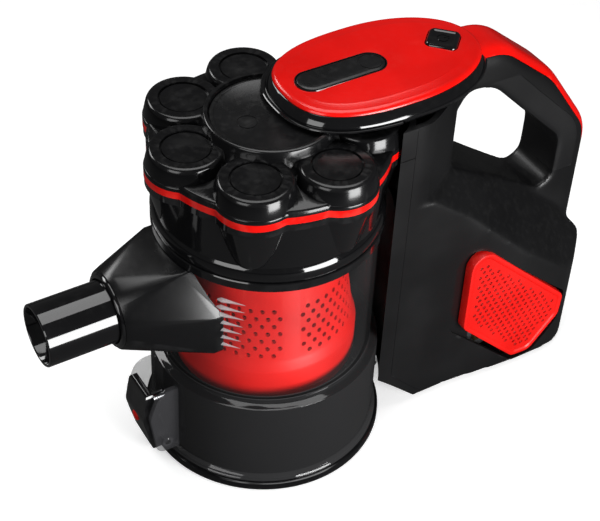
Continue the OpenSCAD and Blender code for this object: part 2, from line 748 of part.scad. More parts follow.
bin_container();
bin_door();
door_seal();
door_hinge_pin();
latch_lever();
latch_pin();
latch_spring();
inlet_duct();
inlet_tube();
inlet_seal();
bin_top_seal();
cyclone_shroud();
cyclone_plate();
cyclone_cones();
vortex_plate();
cap_housing();
cap_stripe();
cap_cover();
centre_lid();
pre_filter();
outlet_seal();
left_shell();
right_shell();
front_column();
bin_pivot_pin();
top_rim();
top_cover();
grip_insert();
left_grille();
right_grille();
left_exhaust_filter();
right_exhaust_filter();
air_duct();
motor_frame();
motor_field();
fan_cover();
lower_bearing();
upper_bearing();
brush_holders();
carbon_brushes();
lower_motor_mount();
upper_motor_mount();
armature_shaft();
armature_core();
commutator();
impeller();
power_button();
power_switch();
power_spring();
release_button();
release_catch();
release_spring();
shell_screws();
rubber_feet();
cord_gland();
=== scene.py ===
"""Looks of a handheld cyclonic vacuum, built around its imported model.

Every object is in metres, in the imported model's frame: the origin is the centre of the bin's
base, +Z is up, +X points from the bin towards the handle, and the inlet tube points to -X.
Sizes in the classes below are millimetres, as on the part's own drawing.
"""
import logging
import math
from contextlib import contextmanager
from dataclasses import dataclass
from enum import Enum
from typing import Callable, Iterator, Optional, Sequence

import bmesh
import bpy
from mathutils import Matrix, Vector


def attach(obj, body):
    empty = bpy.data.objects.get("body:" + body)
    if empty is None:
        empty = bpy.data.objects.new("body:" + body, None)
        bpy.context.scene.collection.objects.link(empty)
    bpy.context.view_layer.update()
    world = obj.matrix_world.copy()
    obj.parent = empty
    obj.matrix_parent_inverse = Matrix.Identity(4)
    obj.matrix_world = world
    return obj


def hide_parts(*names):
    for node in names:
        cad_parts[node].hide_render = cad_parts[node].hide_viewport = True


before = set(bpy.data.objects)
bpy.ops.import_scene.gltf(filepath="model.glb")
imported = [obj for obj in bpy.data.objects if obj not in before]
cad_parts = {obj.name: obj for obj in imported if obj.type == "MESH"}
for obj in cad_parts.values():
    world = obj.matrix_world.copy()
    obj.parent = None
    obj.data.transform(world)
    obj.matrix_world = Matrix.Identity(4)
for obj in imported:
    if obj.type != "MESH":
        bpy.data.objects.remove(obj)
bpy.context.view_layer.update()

MM = 0.001
LOG = logging.getLogger("vacuum")

Point = tuple[float, float]
Corner = tuple[float, float, float]
Colour = tuple[float, float, float]
Piece = bpy.types.Object
Socket = bpy.types.NodeSocket

# A turned profile's ends on its axis stand this far off it, in millimetres, and points closer
# than the second value are merged, so that every pole closes.
AXIS = 0.001
POLE_MERGE = 0.005
# The least radius that a rounded corner keeps when its outline is moved.
LEAST_RADIUS = 0.4
# The cap's clean-air outlet, from the middle axis, and its radius.
OUTLET = (18.0, 0.0)
OUTLET_R = 10.0
WHITE = (1.0, 1.0, 1.0, 1.0)


class Body(str, Enum):
    """The moving bodies that pieces ride on."""

    MOTOR = "body"
    BIN = "bin"
    DOOR = "door"
    LATCH = "latch"
    POWER_KEY = "power_key"
    RELEASE_KEY = "release_key"


class Along(Enum):
    """The axis that a prism is drawn out along."""

    X = 0
    Y = 1
    Z = 2


# ---- Outlines --------------------------------------------------------------------------
class Outline:
    """A closed outline of corners, each with its own rounding radius, anticlockwise."""

    def __init__(self, corners: Sequence[Corner]) -> None:
        """Keeps the corners.

        Args:
            corners: (a, b, radius) for each corner, in millimetres.
        """
        self.corners = list(corners)

    def _around(self, index: int) -> tuple[Vector, Vector, Vector, float]:
        """Finds a corner and its neighbours.

        Args:
            index: the corner's place in the list.

        Returns:
            The corners before, at and after it, and the radius there.
        """
        count = len(self.corners)
        before, here, after = (Vector(self.corners[(index + k) % count][:2]) for k in (-1, 0, 1))
        return before, here, after, self.corners[index][2]

    def inset(self, depth: float) -> "Outline":
        """Moves every side inwards.

        Args:
            depth: how far, in millimetres, and negative to move outwards.

        Returns:
            The new outline, with its radii following.
        """
        moved = []
        for index in range(len(self.corners)):
            before, here, after, radius = self._around(index)
            first = (here - before).normalized()
            second = (after - here).normalized()
            turn = 1.0 if first.cross(second) > 0 else -1.0
            push = Vector((-first.y - second.y, first.x + second.x))
            place = here + push * depth / (1 + first.dot(second))
            rounding = max(radius - turn * depth, LEAST_RADIUS) if radius else 0.0
            moved.append((place.x, place.y, rounding))
        return Outline(moved)

    def at_depth(self, steps: int) -> Callable[[float], list[Point]]:
        """Returns a function that traces the outline moved in by the depth it is given."""
        return lambda depth: self.inset(depth).points(steps)

    def points(self, steps: int = 8) -> list[Point]:
        """Lists the outline's points with its corners rounded.

        Args:
            steps: how many pieces each rounded corner is split into.

        Returns:
            The points, in millimetres.
        """
        found: list[Point] = []
        for index in range(len(self.corners)):
            before, here, after, radius = self._around(index)
            if radius <= 0:
                found.append((here.x, here.y))
                continue
            back = (before - here).normalized()
            ahead = (after - here).normalized()
            half = math.acos(max(-1.0, min(1.0, back.dot(ahead)))) / 2
            centre = here + (back + ahead).normalized() * radius / math.sin(half)
            start = here + back * radius / math.tan(half) - centre
            end = here + ahead * radius / math.tan(half) - centre
            sweep = start.angle_signed(end)
            for step in range(steps + 1):
                turned = start.copy()
                turned.rotate(Matrix.Rotation(-sweep * step / steps, 2))
                found.append((centre.x + turned.x, centre.y + turned.y))
        return found


def rounded_box(width: float, height: float, radius: float, at: Point = (0.0, 0.0)) -> Outline:
    """Makes a rounded rectangle.

    Args:
        width: size along the first axis, in millimetres.
        height: size along the second axis.
        radius: radius of its corners.
        at: its centre.

    Returns:
        The outline.
    """
    a, b = width / 2, height / 2
    signs = ((-1, -1), (1, -1), (1, 1), (-1, 1))
    return Outline([(at[0] + x * a, at[1] + y * b, radius) for x, y in signs])


def both_sides(near: Sequence[Corner]) -> Outline:
    """Completes an outline given from front to back along its near side with the far side."""
    return Outline([*near, *((a, -b, radius) for a, b, radius in reversed(near))])


def across(side: int, near: float, far: float) -> Point:
    """Returns the lowest and highest Y between two distances on one side, -1 or 1."""
    return min(side * near, side * far), max(side * near, side * far)


def placed(at: Sequence[float], along: Along, level: float) -> Vector:
    """Makes a point from its place across an axis and its level along it.

    Args:
        at: its two coordinates across the axis, in order.
        along: the axis.
        level: its coordinate along the axis.

    Returns:
        The point, in the same units.
    """
    place = list(at)
    place.insert(along.value, level)
    return Vector(place)


# ---- Bench work ------------------------------------------------------------------------
def take(*pieces: Piece) -> None:
    """Selects only these pieces and makes the first one active.

    Args:
        pieces: the pieces, at least one.
    """
    bpy.ops.object.select_all(action="DESELECT")
    for piece in pieces:
        piece.select_set(True)
    bpy.context.view_layer.objects.active = pieces[0]


def fresh(name: str, add: Callable[..., object], **settings: object) -> Piece:
    """Adds a primitive as a new piece, with its place in its mesh.

    Args:
        name: the piece's name.
        add: the operator that adds the primitive.
        settings: the operator's settings.

    Returns:
        The new piece.
    """
    bpy.ops.object.select_all(action="DESELECT")
    add(**settings)
    piece = bpy.context.object
    piece.name = name
    piece.data.name = name
    bpy.ops.object.transform_apply(location=True, rotation=True, scale=True)
    return piece


@contextmanager
def editing(piece: Piece, mode: str = "FACE") -> Iterator[bmesh.types.BMesh]:
    """Opens a piece in edit mode with nothing selected.

    Args:
        piece: the piece to edit.
        mode: the select mode, VERT, EDGE or FACE.

    Yields:
        The mesh being edited.
    """
    take(piece)
    bpy.ops.object.mode_set(mode="EDIT")
    bpy.ops.mesh.select_mode(type=mode)
    bpy.ops.mesh.select_all(action="DESELECT")
    try:
        yield bmesh.from_edit_mesh(piece.data)
    finally:
        bmesh.update_edit_mesh(piece.data)
        bpy.ops.object.mode_set(mode="OBJECT")


def modify(piece: Piece, kind: str, **settings: object) -> Piece:
    """Adds a modifier to a piece and applies it.

    Args:
        piece: the piece.
        kind: the modifier's type.
        settings: the modifier's settings.

    Returns:
        The same piece.
    """
    take(piece)
    step = piece.modifiers.new(kind.lower(), kind)
    for key, value in settings.items():
        setattr(step, key, value)
    bpy.ops.object.modifier_apply(modifier=step.name)
    return piece


def bevel(piece: Piece, width: float, segments: int = 3, angle: float = 35.0) -> Piece:
    """Rounds a piece's sharp edges.

    Args:
        piece: the piece.
        width: the rounding's width, in millimetres.
        segments: how many faces go round it.
        angle: the least angle, in degrees, that counts as sharp.

    Returns:
        The same piece.
    """
    return modify(
        piece, "BEVEL", width=width * MM, segments=segments, limit_method="ANGLE",
        angle_limit=math.radians(angle), harden_normals=False,
    )


def combine(piece: Piece, tool: Piece, operation: str) -> Piece:
    """Cuts, joins or intersects a piece with a tool.

    Args:
        piece: the piece that stays.
        tool: the other mesh, removed afterwards.
        operation: DIFFERENCE, UNION or INTERSECT.

    Returns:
        The piece.
    """
    modify(piece, "BOOLEAN", object=tool, operation=operation, solver="EXACT")
    bpy.data.objects.remove(tool)
    return piece


def copy_of(piece: Piece, name: str) -> Piece:
    """Copies a piece with its own mesh.

    Args:
        piece: the piece to copy.
        name: the copy's name.

    Returns:
        The copy.
    """
    twin = piece.copy()
    twin.data = piece.data.copy()
    twin.name = name
    twin.data.name = name
    bpy.context.scene.collection.objects.link(twin)
    return twin


def mirrored_copy(piece: Piece, name: str) -> Piece:
    """Copies a piece to the other side of the middle plane.

    Args:
        piece: the piece to copy.
        name: the copy's name.

    Returns:
        The copy, with its faces pointing outwards.
    """
    twin = copy_of(piece, name)
    twin.data.transform(Matrix.Scale(-1.0, 4, (0.0, 1.0, 0.0)))
    with editing(twin):
        bpy.ops.mesh.select_all(action="SELECT")
        bpy.ops.mesh.flip_normals()
    return twin


def soften(piece: Piece, angle: float = 35.0) -> Piece:
    """Shades a piece smooth, apart from its sharper edges.

    Args:
        piece: the piece.
        angle: edges sharper than this, in degrees, stay crisp.

    Returns:
        The same piece.
    """
    take(piece)
    bpy.ops.object.shade_smooth_by_angle(angle=math.radians(angle))
    return piece


def recalculate(piece: Piece, merge: float = 0.001) -> Piece:
    """Merges a piece's doubled points and points its faces outwards.

    Args:
        piece: the piece.
        merge: points closer than this, in millimetres, become one.

    Returns:
        The same piece.
    """
    with editing(piece, "VERT"):
        bpy.ops.mesh.select_all(action="SELECT")
        bpy.ops.mesh.remove_doubles(threshold=merge * MM)
        bpy.ops.mesh.delete_loose(use_verts=True, use_edges=True, use_faces=False)
        bpy.ops.mesh.select_all(action="SELECT")
        bpy.ops.mesh.normals_make_consistent(inside=False)
    return piece


def prism(
    name: str, outline: Sequence[Point], low: float, high: float, along: Along = Along.Z
) -> Piece:
    """Draws an outline out into a solid.

    Args:
        name: the piece's name.
        outline: its points in millimetres: X and Y along Z, X and Z along Y, Y and Z along X.
        low: where the solid starts along the axis.
        high: where it ends.
        along: the axis.

    Returns:
        The solid.
    """
    piece = fresh(
        name, bpy.ops.mesh.primitive_circle_add, vertices=len(outline), radius=1.0, fill_type="NGON"
    )
    with editing(piece, "VERT") as mesh:
        mesh.verts.ensure_lookup_table()
        for vert, spot in zip(mesh.verts, outline):
            vert.co = placed(spot, along, low) * MM
        bmesh.update_edit_mesh(piece.data)
        bpy.ops.mesh.select_all(action="SELECT")
        rise = placed((0.0, 0.0), along, (high - low) * MM)
        bpy.ops.mesh.extrude_region_move(TRANSFORM_OT_translate={"value": rise})
        bpy.ops.mesh.select_all(action="SELECT")
        bpy.ops.mesh.normals_make_consistent(inside=False)
    return piece


def block(name: str, x: Point, y: Point, z: Point) -> Piece:
    """Makes a plain box.

    Args:
        name: the piece's name.
        x: where it starts and ends along X, in millimetres.
        y: the same along Y.
        z: the same along Z.

    Returns:
        The box.
    """
    corners = [(x[0], y[0]), (x[1], y[0]), (x[1], y[1]), (x[0], y[1])]
    return prism(name, corners, *z)


def lathe(name: str, profile: Sequence[Point], steps: int = 96, at: Point = (0.0, 0.0)) -> Piece:
    """Spins a closed profile about a vertical axis.

    Args:
        name: the piece's name.
        profile: its (radius, height) points in millimetres.
        steps: how many pieces go round.
        at: the axis's X and Y.

    Returns:
        The turned piece.
    """
    piece = fresh(name, bpy.ops.mesh.primitive_circle_add, vertices=len(profile), radius=1.0)
    with editing(piece, "VERT") as mesh:
        mesh.verts.ensure_lookup_table()
        for vert, (radius, height) in zip(mesh.verts, profile):
            vert.co = Vector((at[0] + radius, at[1], height)) * MM
        bmesh.update_edit_mesh(piece.data)
        bpy.ops.mesh.select_all(action="SELECT")
        bpy.ops.mesh.spin(
            steps=steps, angle=math.tau, center=(at[0] * MM, at[1] * MM, 0.0), axis=(0.0, 0.0, 1.0)
        )
    return recalculate(piece, POLE_MERGE)


def drum(name: str, radius: float, low: float, high: float, steps: int = 160) -> Piece:
    """Turns a plain upright drum on the middle axis.

    Args:
        name: the piece's name.
        radius: its radius, in millimetres.
        low: its lowest level.
        high: its highest level.
        steps: how many pieces go round.

    Returns:
        The drum.
    """
    return lathe(name, [(AXIS, low), (radius, low), (radius, high), (AXIS, high)], steps)


def rod(
    name: str, along: Along, at: Point, low: float, high: float, radius: float, sides: int = 48
) -> Piece:
    """Makes a round rod along an axis.

    Args:
        name: the piece's name.
        along: the axis.
        at: its place across the axis, in millimetres.
        low: where it starts along the axis.
        high: where it ends.
        radius: its radius.
        sides: how many faces go round.

    Returns:
        The rod.
    """
    start, end = placed(at, along, low), placed(at, along, high)
    run = end - start
    return fresh(
        name, bpy.ops.mesh.primitive_cylinder_add, vertices=sides, radius=radius * MM,
        depth=run.length * MM, location=(start + end) * MM / 2,
        rotation=run.to_track_quat("Z", "Y").to_euler(),
    )


def loft(
    name: str, sections: Sequence[tuple[Sequence[Point], float]], along: Along = Along.Z
) -> Piece:
    """Builds a solid by extruding an outline from level to level, reshaping it each time.

    Args:
        name: the piece's name.
        sections: the outline's points and its level, in millimetres, all with as many points.
        along: the axis that the levels lie on.

    Returns:
        The solid, with its faces pointing outwards.
    """
    first = sections[0][0]
    piece = fresh(
        name, bpy.ops.mesh.primitive_circle_add, vertices=len(first), radius=1.0, fill_type="NGON"
    )
    with editing(piece, "VERT") as mesh:
        order = mesh.verts.layers.int.new("order")
        for index, vert in enumerate(mesh.verts):
            vert[order] = index
        for step, (outline, level) in enumerate(sections):
            bpy.ops.mesh.select_mode(type="FACE")
            if step == 0:
                bpy.ops.mesh.select_all(action="SELECT")
            else:
                bpy.ops.mesh.extrude_region_move(TRANSFORM_OT_translate={"value": (0.0, 0.0, MM)})
            mesh = bmesh.from_edit_mesh(piece.data)
            order = mesh.verts.layers.int["order"]
            for vert in mesh.verts:
                if vert.select:
                    vert.co = placed(outline[vert[order]], along, level) * MM
            bmesh.update_edit_mesh(piece.data)
        bpy.ops.mesh.select_all(action="SELECT")
        bpy.ops.mesh.normals_make_consistent(inside=False)
    return piece


def stepped(
    name: str, trace: Callable[[float], Sequence[Point]], steps: Sequence[Point],
    along: Along = Along.Z,
) -> Piece:
    """Lofts one outline through levels, moved by its own depth at each.

    Args:
        name: the piece's name.
        trace: gives the outline's points for a depth.
        steps: (depth, level) pairs in millimetres.
        along: the axis that the levels lie on.

    Returns:
        The solid.
    """
    return loft(name, [(trace(depth), level) for depth, level in steps], along)


def joined(name: str, pieces: Sequence[Piece]) -> Piece:
    """Joins several solids into one mesh without blending them.

    Args:
        name: the new piece's name.
        pieces: the solids, which are used up.

    Returns:
        The joined piece.
    """
    take(*pieces)
    if len(pieces) > 1:
        bpy.ops.object.join()
    piece = bpy.context.object
    piece.name = name
    piece.data.name = name
    return piece


def fused(name: str, pieces: Sequence[Piece]) -> Piece:
    """Unites several overlapping solids into one, with their inner faces removed.

    Args:
        name: the new piece's name.
        pieces: the solids, which are used up.

    Returns:
        The united piece.
    """
    whole = pieces[0]
    for piece in pieces[1:]:
        combine(whole, piece, "UNION")
    whole.name = name
    whole.data.name = name
    return whole


def drilled(piece: Piece, drill: Piece, places: Sequence[Matrix]) -> Piece:
    """Drills a piece at many places.

    Args:
        piece: the piece.
        drill: one drill, which is used up.
        places: how the drill is moved for each hole.

    Returns:
        The same piece.
    """
    drills = []
    for place in places:
        twin = copy_of(drill, "drill")
        twin.data.transform(place)
        drills.append(twin)
    bpy.data.objects.remove(drill)
    return combine(piece, joined("drills", drills), "DIFFERENCE")


def shifted(x: float, y: float, z: float) -> Matrix:
    """Returns the move by a distance given in millimetres."""
    return Matrix.Translation(Vector((x, y, z)) * MM)


def turned(degrees: float, axis: str = "Z") -> Matrix:
    """Returns the turn about an axis."""
    return Matrix.Rotation(math.radians(degrees), 4, axis)


def laid_along_x(piece: Piece) -> Piece:
    """Turns a piece that was turned on the vertical axis so that its axis lies along X."""
    piece.data.transform(turned(90, "Y"))
    return piece


def half_of(piece: Piece, name: str, keep_left: bool, gap: float = 0.02) -> Piece:
    """Copies one side of a piece, cut at the middle plane and closed.

    Args:
        piece: the whole piece.
        name: the half's name.
        keep_left: True keeps the side with negative Y.
        gap: distance kept from the middle plane, in millimetres.

    Returns:
        The half.
    """
    half = copy_of(piece, name)
    side = -1.0 if keep_left else 1.0
    with editing(half, "VERT"):
        bpy.ops.mesh.select_all(action="SELECT")
        bpy.ops.mesh.bisect(
            plane_co=(0.0, side * gap * MM, 0.0), plane_no=(0.0, side, 0.0),
            use_fill=True, clear_inner=True,
        )
    return half


def sculpted(piece: Piece, voxel: float, rounds: int) -> Piece:
    """Blends a piece's hard corners by rebuilding and smoothing its surface.

    Args:
        piece: the piece.
        voxel: the size of the new surface's faces, in millimetres.
        rounds: how often the surface is smoothed.

    Returns:
        The same piece.
    """
    modify(piece, "REMESH", mode="VOXEL", voxel_size=voxel * MM, use_smooth_shade=True)
    return modify(piece, "SMOOTH", factor=0.5, iterations=rounds)


# ---- Finishes --------------------------------------------------------------------------
class Nodes:
    """A short-hand for wiring the nodes of one material or group."""

    def __init__(self, tree: bpy.types.NodeTree) -> None:
        """Keeps the tree that nodes are added to."""
        self.tree = tree

    def add(self, kind: str, values: Optional[dict] = None, **settings: object) -> bpy.types.Node:
        """Adds a node.

        Args:
            kind: the node's type.
            values: values, or sockets to link, for its inputs.
            settings: its settings.

        Returns:
            The node.
        """
        node = self.tree.nodes.new(kind)
        for key, value in settings.items():
            setattr(node, key, value)
        self.add_to(node, values or {})
        return node

    def add_to(self, node: bpy.types.Node, values: dict) -> None:
        """Fills the inputs of a node that is already there.

        Args:
            node: the node.
            values: values, or sockets to link, for its inputs.
        """
        for key, value in values.items():
            if isinstance(value, Socket):
                self.tree.links.new(value, node.inputs[key])
            else:
                node.inputs[key].default_value = value

    def math(self, operation: str, *values: object) -> Socket:
        """Adds a Math node and returns its result."""
        return self.add("ShaderNodeMath", dict(enumerate(values)), operation=operation).outputs[0]

    def remap(self, value: object, band: Point, to: Point = (0.0, 1.0)) -> Socket:
        """Adds an eased Map Range node from one band of values to another."""
        inputs = dict(enumerate((value, *band, *to)))
        return self.add("ShaderNodeMapRange", inputs, interpolation_type="SMOOTHSTEP").outputs[0]

    def blend(self, mask: object, first: object, second: object) -> Socket:
        """Adds a colour Mix node.

        Args:
            mask: 0 gives the first colour, 1 the second.
            first: a colour.
            second: another colour.

        Returns:
            The mixed colour.
        """
        node = self.add("ShaderNodeMix", data_type="RGBA")
        self.add_to(node, {0: mask, 6: first, 7: second})
        return node.outputs[2]

    def place(self) -> Socket:
        """Returns the place on the object that patterns follow."""
        return self.add("ShaderNodeTexCoord").outputs["Object"]

    def noise(self, size: object, detail: float) -> Socket:
        """Adds a Noise node that follows the object and returns its value."""
        inputs = {"Vector": self.place(), "Scale": size, "Detail": detail}
        return self.add("ShaderNodeTexNoise", inputs).outputs["Fac"]

    def bump(self, height: object, depth: float, strength: float = 1.0) -> Socket:
        """Adds a Bump node whose depth is in millimetres and returns its normal."""
        inputs = {"Strength": strength, "Distance": depth * MM, "Height": height}
        return self.add("ShaderNodeBump", inputs).outputs["Normal"]


def opaque(colour: Colour, share: float = 1.0) -> tuple[float, ...]:
    """Returns a colour with full alpha, its channels multiplied by a share."""
    return (*(channel * share for channel in colour), 1.0)


def effect_group(
    name: str, inputs: dict[str, float], outputs: Sequence[str]
) -> tuple[bpy.types.NodeTree, Nodes, bpy.types.Node]:
    """Starts a node group for an effect that several finishes share.

    Args:
        name: the group's name.
        inputs: its inputs, with their defaults.
        outputs: its outputs.

    Returns:
        The group, the short-hand for wiring it, and the node that gives its inputs.
    """
    group = bpy.data.node_groups.new(name, "ShaderNodeTree")
    sockets = group.interface
    for label, value in inputs.items():
        socket = sockets.new_socket(label, in_out="INPUT", socket_type="NodeSocketFloat")
        socket.default_value = value
    for label in outputs:
        sockets.new_socket(label, in_out="OUTPUT", socket_type="NodeSocketFloat")
    wire = Nodes(group)
    return group, wire, wire.add("NodeGroupInput")


class Effects:
    """The shared surface effects: moulded grain, worn edges, settled dust and level lines."""

    # The bands of values over which each pattern goes from nothing to full.
    SHARP_BAND = (0.53, 0.60)
    BROKEN_BAND = (0.42, 0.62)
    UPWARD_BAND = (0.2, 1.0)
    SPECK_BAND = (0.45, 0.75)
    PATCH_BAND = (0.3, 0.7)

    def __init__(self) -> None:
        """Builds each group once."""
        self.grain = self._grain()
        self.wear = self._wear()
        self.dust = self._dust()
        self.lines = self._lines()

    def _grain(self) -> bpy.types.NodeTree:
        """Builds the fine texture that a moulding tool leaves, with a slow variation.

        Returns:
            The group.
        """
        group, wire, given = effect_group(
            "moulded_grain", {"Size": 900.0, "Patches": 25.0}, ["Height", "Patch"]
        )
        fine = wire.noise(given.outputs["Size"], 3.0)
        slow = wire.noise(given.outputs["Patches"], 2.0)
        wire.add("NodeGroupOutput", {"Height": fine, "Patch": slow})
        return group

    def _wear(self) -> bpy.types.NodeTree:
        """Builds a mask of the edges that hands and storage rub.

        Returns:
            The group.
        """
        group, wire, given = effect_group("worn_edges", {"Amount": 0.4, "Size": 120.0}, ["Mask"])
        sharp = wire.add("ShaderNodeNewGeometry").outputs["Pointiness"]
        edge = wire.remap(sharp, self.SHARP_BAND)
        broken = wire.remap(wire.noise(given.outputs["Size"], 4.0), self.BROKEN_BAND)
        mask = wire.math("MULTIPLY", wire.math("MULTIPLY", edge, broken), given.outputs["Amount"])
        wire.add("NodeGroupOutput", {"Mask": mask})
        return group

    def _dust(self) -> bpy.types.NodeTree:
        """Builds a mask of the faces that look up, broken into specks.

        Returns:
            The group.
        """
        group, wire, given = effect_group("settled_dust", {"Amount": 0.2, "Size": 260.0}, ["Mask"])
        normal = wire.add("ShaderNodeNewGeometry").outputs["Normal"]
        up = wire.add("ShaderNodeSeparateXYZ", {"Vector": normal}).outputs["Z"]
        facing = wire.remap(up, self.UPWARD_BAND)
        specks = wire.remap(wire.noise(given.outputs["Size"], 6.0), self.SPECK_BAND)
        mask = wire.math("MULTIPLY", wire.math("MULTIPLY", facing, specks), given.outputs["Amount"])
        wire.add("NodeGroupOutput", {"Mask": mask})
        return group

    def _lines(self) -> bpy.types.NodeTree:
        """Builds level lines, as of stacked sheet metal or turning marks.

        Returns:
            The group.
        """
        group, wire, given = effect_group(
            "level_lines", {"Pitch": 900.0, "Wander": 1.0}, ["Height"]
        )
        inputs = {
            "Vector": wire.place(), "Scale": given.outputs["Pitch"],
            "Distortion": given.outputs["Wander"], "Detail": 2.0,
        }
        wave = wire.add("ShaderNodeTexWave", inputs, bands_direction="Z")
        wire.add("NodeGroupOutput", {"Height": wave.outputs["Fac"]})
        return group

    def use(self, wire: Nodes, group: bpy.types.NodeTree, **values: float) -> bpy.types.Node:
        """Places an effect in a material.

        Args:
            wire: the material's short-hand.
            group: the effect.
            values: the effect's own values there.

        Returns:
            The effect's node.
        """
        node = wire.add("ShaderNodeGroup", node_tree=group)
        for key, value in values.items():
            node.inputs[key].default_value = value
        return node

    def patchy(self, wire: Nodes, grain: bpy.types.Node, middle: float, spread: float) -> Socket:
        """Returns a value that wanders about its middle with the grain's slow variation."""
        band = (middle - spread, middle + spread)
        return wire.remap(grain.outputs["Patch"], self.PATCH_BAND, band)


@dataclass(frozen=True)
class Plastic:
    """A moulded plastic: its colours, gloss, grain and how its edges have worn."""

    name: str
    slot: str
    colour: Colour
    rubbed: Colour
    roughness: float
    spread: float = 0.04
    grain_size: float = 900.0
    grain_depth: float = 0.02
    wear: float = 0.25
    dust: float = 0.08
    coat: float = 0.0
    coat_roughness: float = 0.04
    deep_share: float = 0.82
    dust_colour: Colour = (0.35, 0.34, 0.33)
    dust_colour_share: float = 0.25
    dust_roughness: float = 0.6

    def make(self, effects: Effects) -> bpy.types.Material:
        """Builds the material.

        Args:
            effects: the shared effects.

        Returns:
            The material.
        """
        material, wire, shader = blank_material(self.name)
        grain = effects.use(wire, effects.grain, Size=self.grain_size)
        wear = effects.use(wire, effects.wear, Amount=self.wear).outputs["Mask"]
        dust = effects.use(wire, effects.dust, Amount=self.dust).outputs["Mask"]
        patch = wire.remap(grain.outputs["Patch"], effects.PATCH_BAND)
        tone = wire.blend(patch, opaque(self.colour, self.deep_share), opaque(self.colour))
        tone = wire.blend(wear, tone, opaque(self.rubbed))
        film = wire.math("MULTIPLY", dust, self.dust_colour_share)
        tone = wire.blend(film, tone, opaque(self.dust_colour))
        gloss = effects.patchy(wire, grain, self.roughness, self.spread)
        gloss = wire.math("ADD", gloss, wire.math("MULTIPLY", dust, self.dust_roughness))
        wire.add_to(shader, {
            "Base Color": tone, "Roughness": gloss,
            "Normal": wire.bump(grain.outputs["Height"], self.grain_depth),
            "Coat Weight": self.coat, "Coat Roughness": self.coat_roughness,
        })
        return material


def blank_material(name: str) -> tuple[bpy.types.Material, Nodes, bpy.types.Node]:
    """Starts a material with a Principled shader.

    Args:
        name: the material's name.

    Returns:
        The material, the short-hand for wiring it, and its shader.
    """
    material = bpy.data.materials.new(name)
    material.use_nodes = True
    wire = Nodes(material.node_tree)
    return material, wire, material.node_tree.nodes["Principled BSDF"]


@dataclass(frozen=True)
class ClearPlastic:
    """A see-through moulding, dense below a level and clear above it."""

    name: str
    slot: str
    dense_colour: Colour
    clear_colour: Colour
    dense_alpha: float
    clear_alpha: float
    level: float = 62.4
    fade: float = 1.2
    roughness: float = 0.05
    rim_alpha: float = 0.3
    streak: float = 0.02
    grain_size: float = 400.0
    patches: float = 18.0
    grain_depth: float = 0.004
    dust: float = 0.15
    dust_roughness: float = 0.12

    def make(self, effects: Effects) -> bpy.types.Material:
        """Builds the material.

        Args:
            effects: the shared effects.

        Returns:
            The material.
        """
        material, wire, shader = blank_material(self.name)
        height = wire.add("ShaderNodeSeparateXYZ", {"Vector": wire.place()}).outputs["Z"]
        above = wire.remap(height, (self.level * MM, (self.level + self.fade) * MM))
        grain = effects.use(wire, effects.grain, Size=self.grain_size, Patches=self.patches)
        dust = effects.use(wire, effects.dust, Amount=self.dust).outputs["Mask"]
        streak = effects.patchy(wire, grain, 0.0, self.streak)
        alpha = wire.remap(above, (0.0, 1.0), (self.dense_alpha, self.clear_alpha))
        alpha = wire.math("ADD", alpha, streak)
        edge = wire.add("ShaderNodeLayerWeight", {"Blend": 0.25}).outputs["Facing"]
        rim = wire.math("MULTIPLY", wire.math("POWER", edge, 2.0), self.rim_alpha)
        alpha = wire.math("ADD", alpha, rim)
        film = wire.math("MULTIPLY", dust, self.dust_roughness)
        wire.add_to(shader, {
            "Base Color": wire.blend(above, opaque(self.dense_colour), opaque(self.clear_colour)),
            "Alpha": wire.math("MINIMUM", alpha, 1.0),
            "Roughness": wire.math("ADD", film, self.roughness),
            "Normal": wire.bump(grain.outputs["Height"], self.grain_depth),
        })
        return material


@dataclass(frozen=True)
class Metal:
    """A metal: bright, or darker in its turning marks."""

    name: str
    slot: str
    colour: Colour
    roughness: float = 0.28
    pitch: float = 700.0
    wander: float = 0.6
    mark_depth: float = 0.02
    mark_strength: float = 0.6
    dark_share: float = 0.72
    spread: float = 0.08

    def make(self, effects: Effects) -> bpy.types.Material:
        """Builds the material.

        Args:
            effects: the shared effects.

        Returns:
            The material.
        """
        material, wire, shader = blank_material(self.name)
        lines = effects.use(wire, effects.lines, Pitch=self.pitch, Wander=self.wander)
        marks = lines.outputs["Height"]
        grain = effects.use(wire, effects.grain, Size=300.0)
        dark = opaque(self.colour, self.dark_share)
        wire.add_to(shader, {
            "Base Color": wire.blend(marks, dark, opaque(self.colour)),
            "Roughness": effects.patchy(wire, grain, self.roughness, self.spread),
            "Normal": wire.bump(marks, self.mark_depth, self.mark_strength),
            "Metallic": 1.0,
        })
        return material


@dataclass(frozen=True)
class Fibre:
    """A soft open material such as foam, felt or rubber: rough, and darker in the low spots of its
    bump, which is painted shade.
    """

    name: str
    slot: str
    colour: Colour
    # The colour of the bump's low spots: painted shade in the pores.
    hollow: Colour
    size: float = 700.0
    depth: float = 0.15
    roughness: float = 0.85
    spread: float = 0.06
    strength: float = 0.8
    pore_shade_band: Point = (0.1, 0.4)

    def make(self, effects: Effects) -> bpy.types.Material:
        """Builds the material.

        Args:
            effects: the shared effects.

        Returns:
            The material.
        """
        material, wire, shader = blank_material(self.name)
        inputs = {"Vector": wire.place(), "Scale": self.size}
        cells = wire.add("ShaderNodeTexVoronoi", inputs).outputs["Distance"]
        grain = effects.use(wire, effects.grain, Size=self.size * 0.6)
        height = wire.math("MULTIPLY", cells, grain.outputs["Height"])
        # Low spots of the bump turn to the hollow colour: painted shade in the pores.
        unshaded_share = wire.remap(height, self.pore_shade_band)
        wire.add_to(shader, {
            "Base Color": wire.blend(unshaded_share, opaque(self.hollow), opaque(self.colour)),
            "Roughness": effects.patchy(wire, grain, self.roughness, self.spread),
            "Normal": wire.bump(height, self.depth, self.strength),
        })
        return material


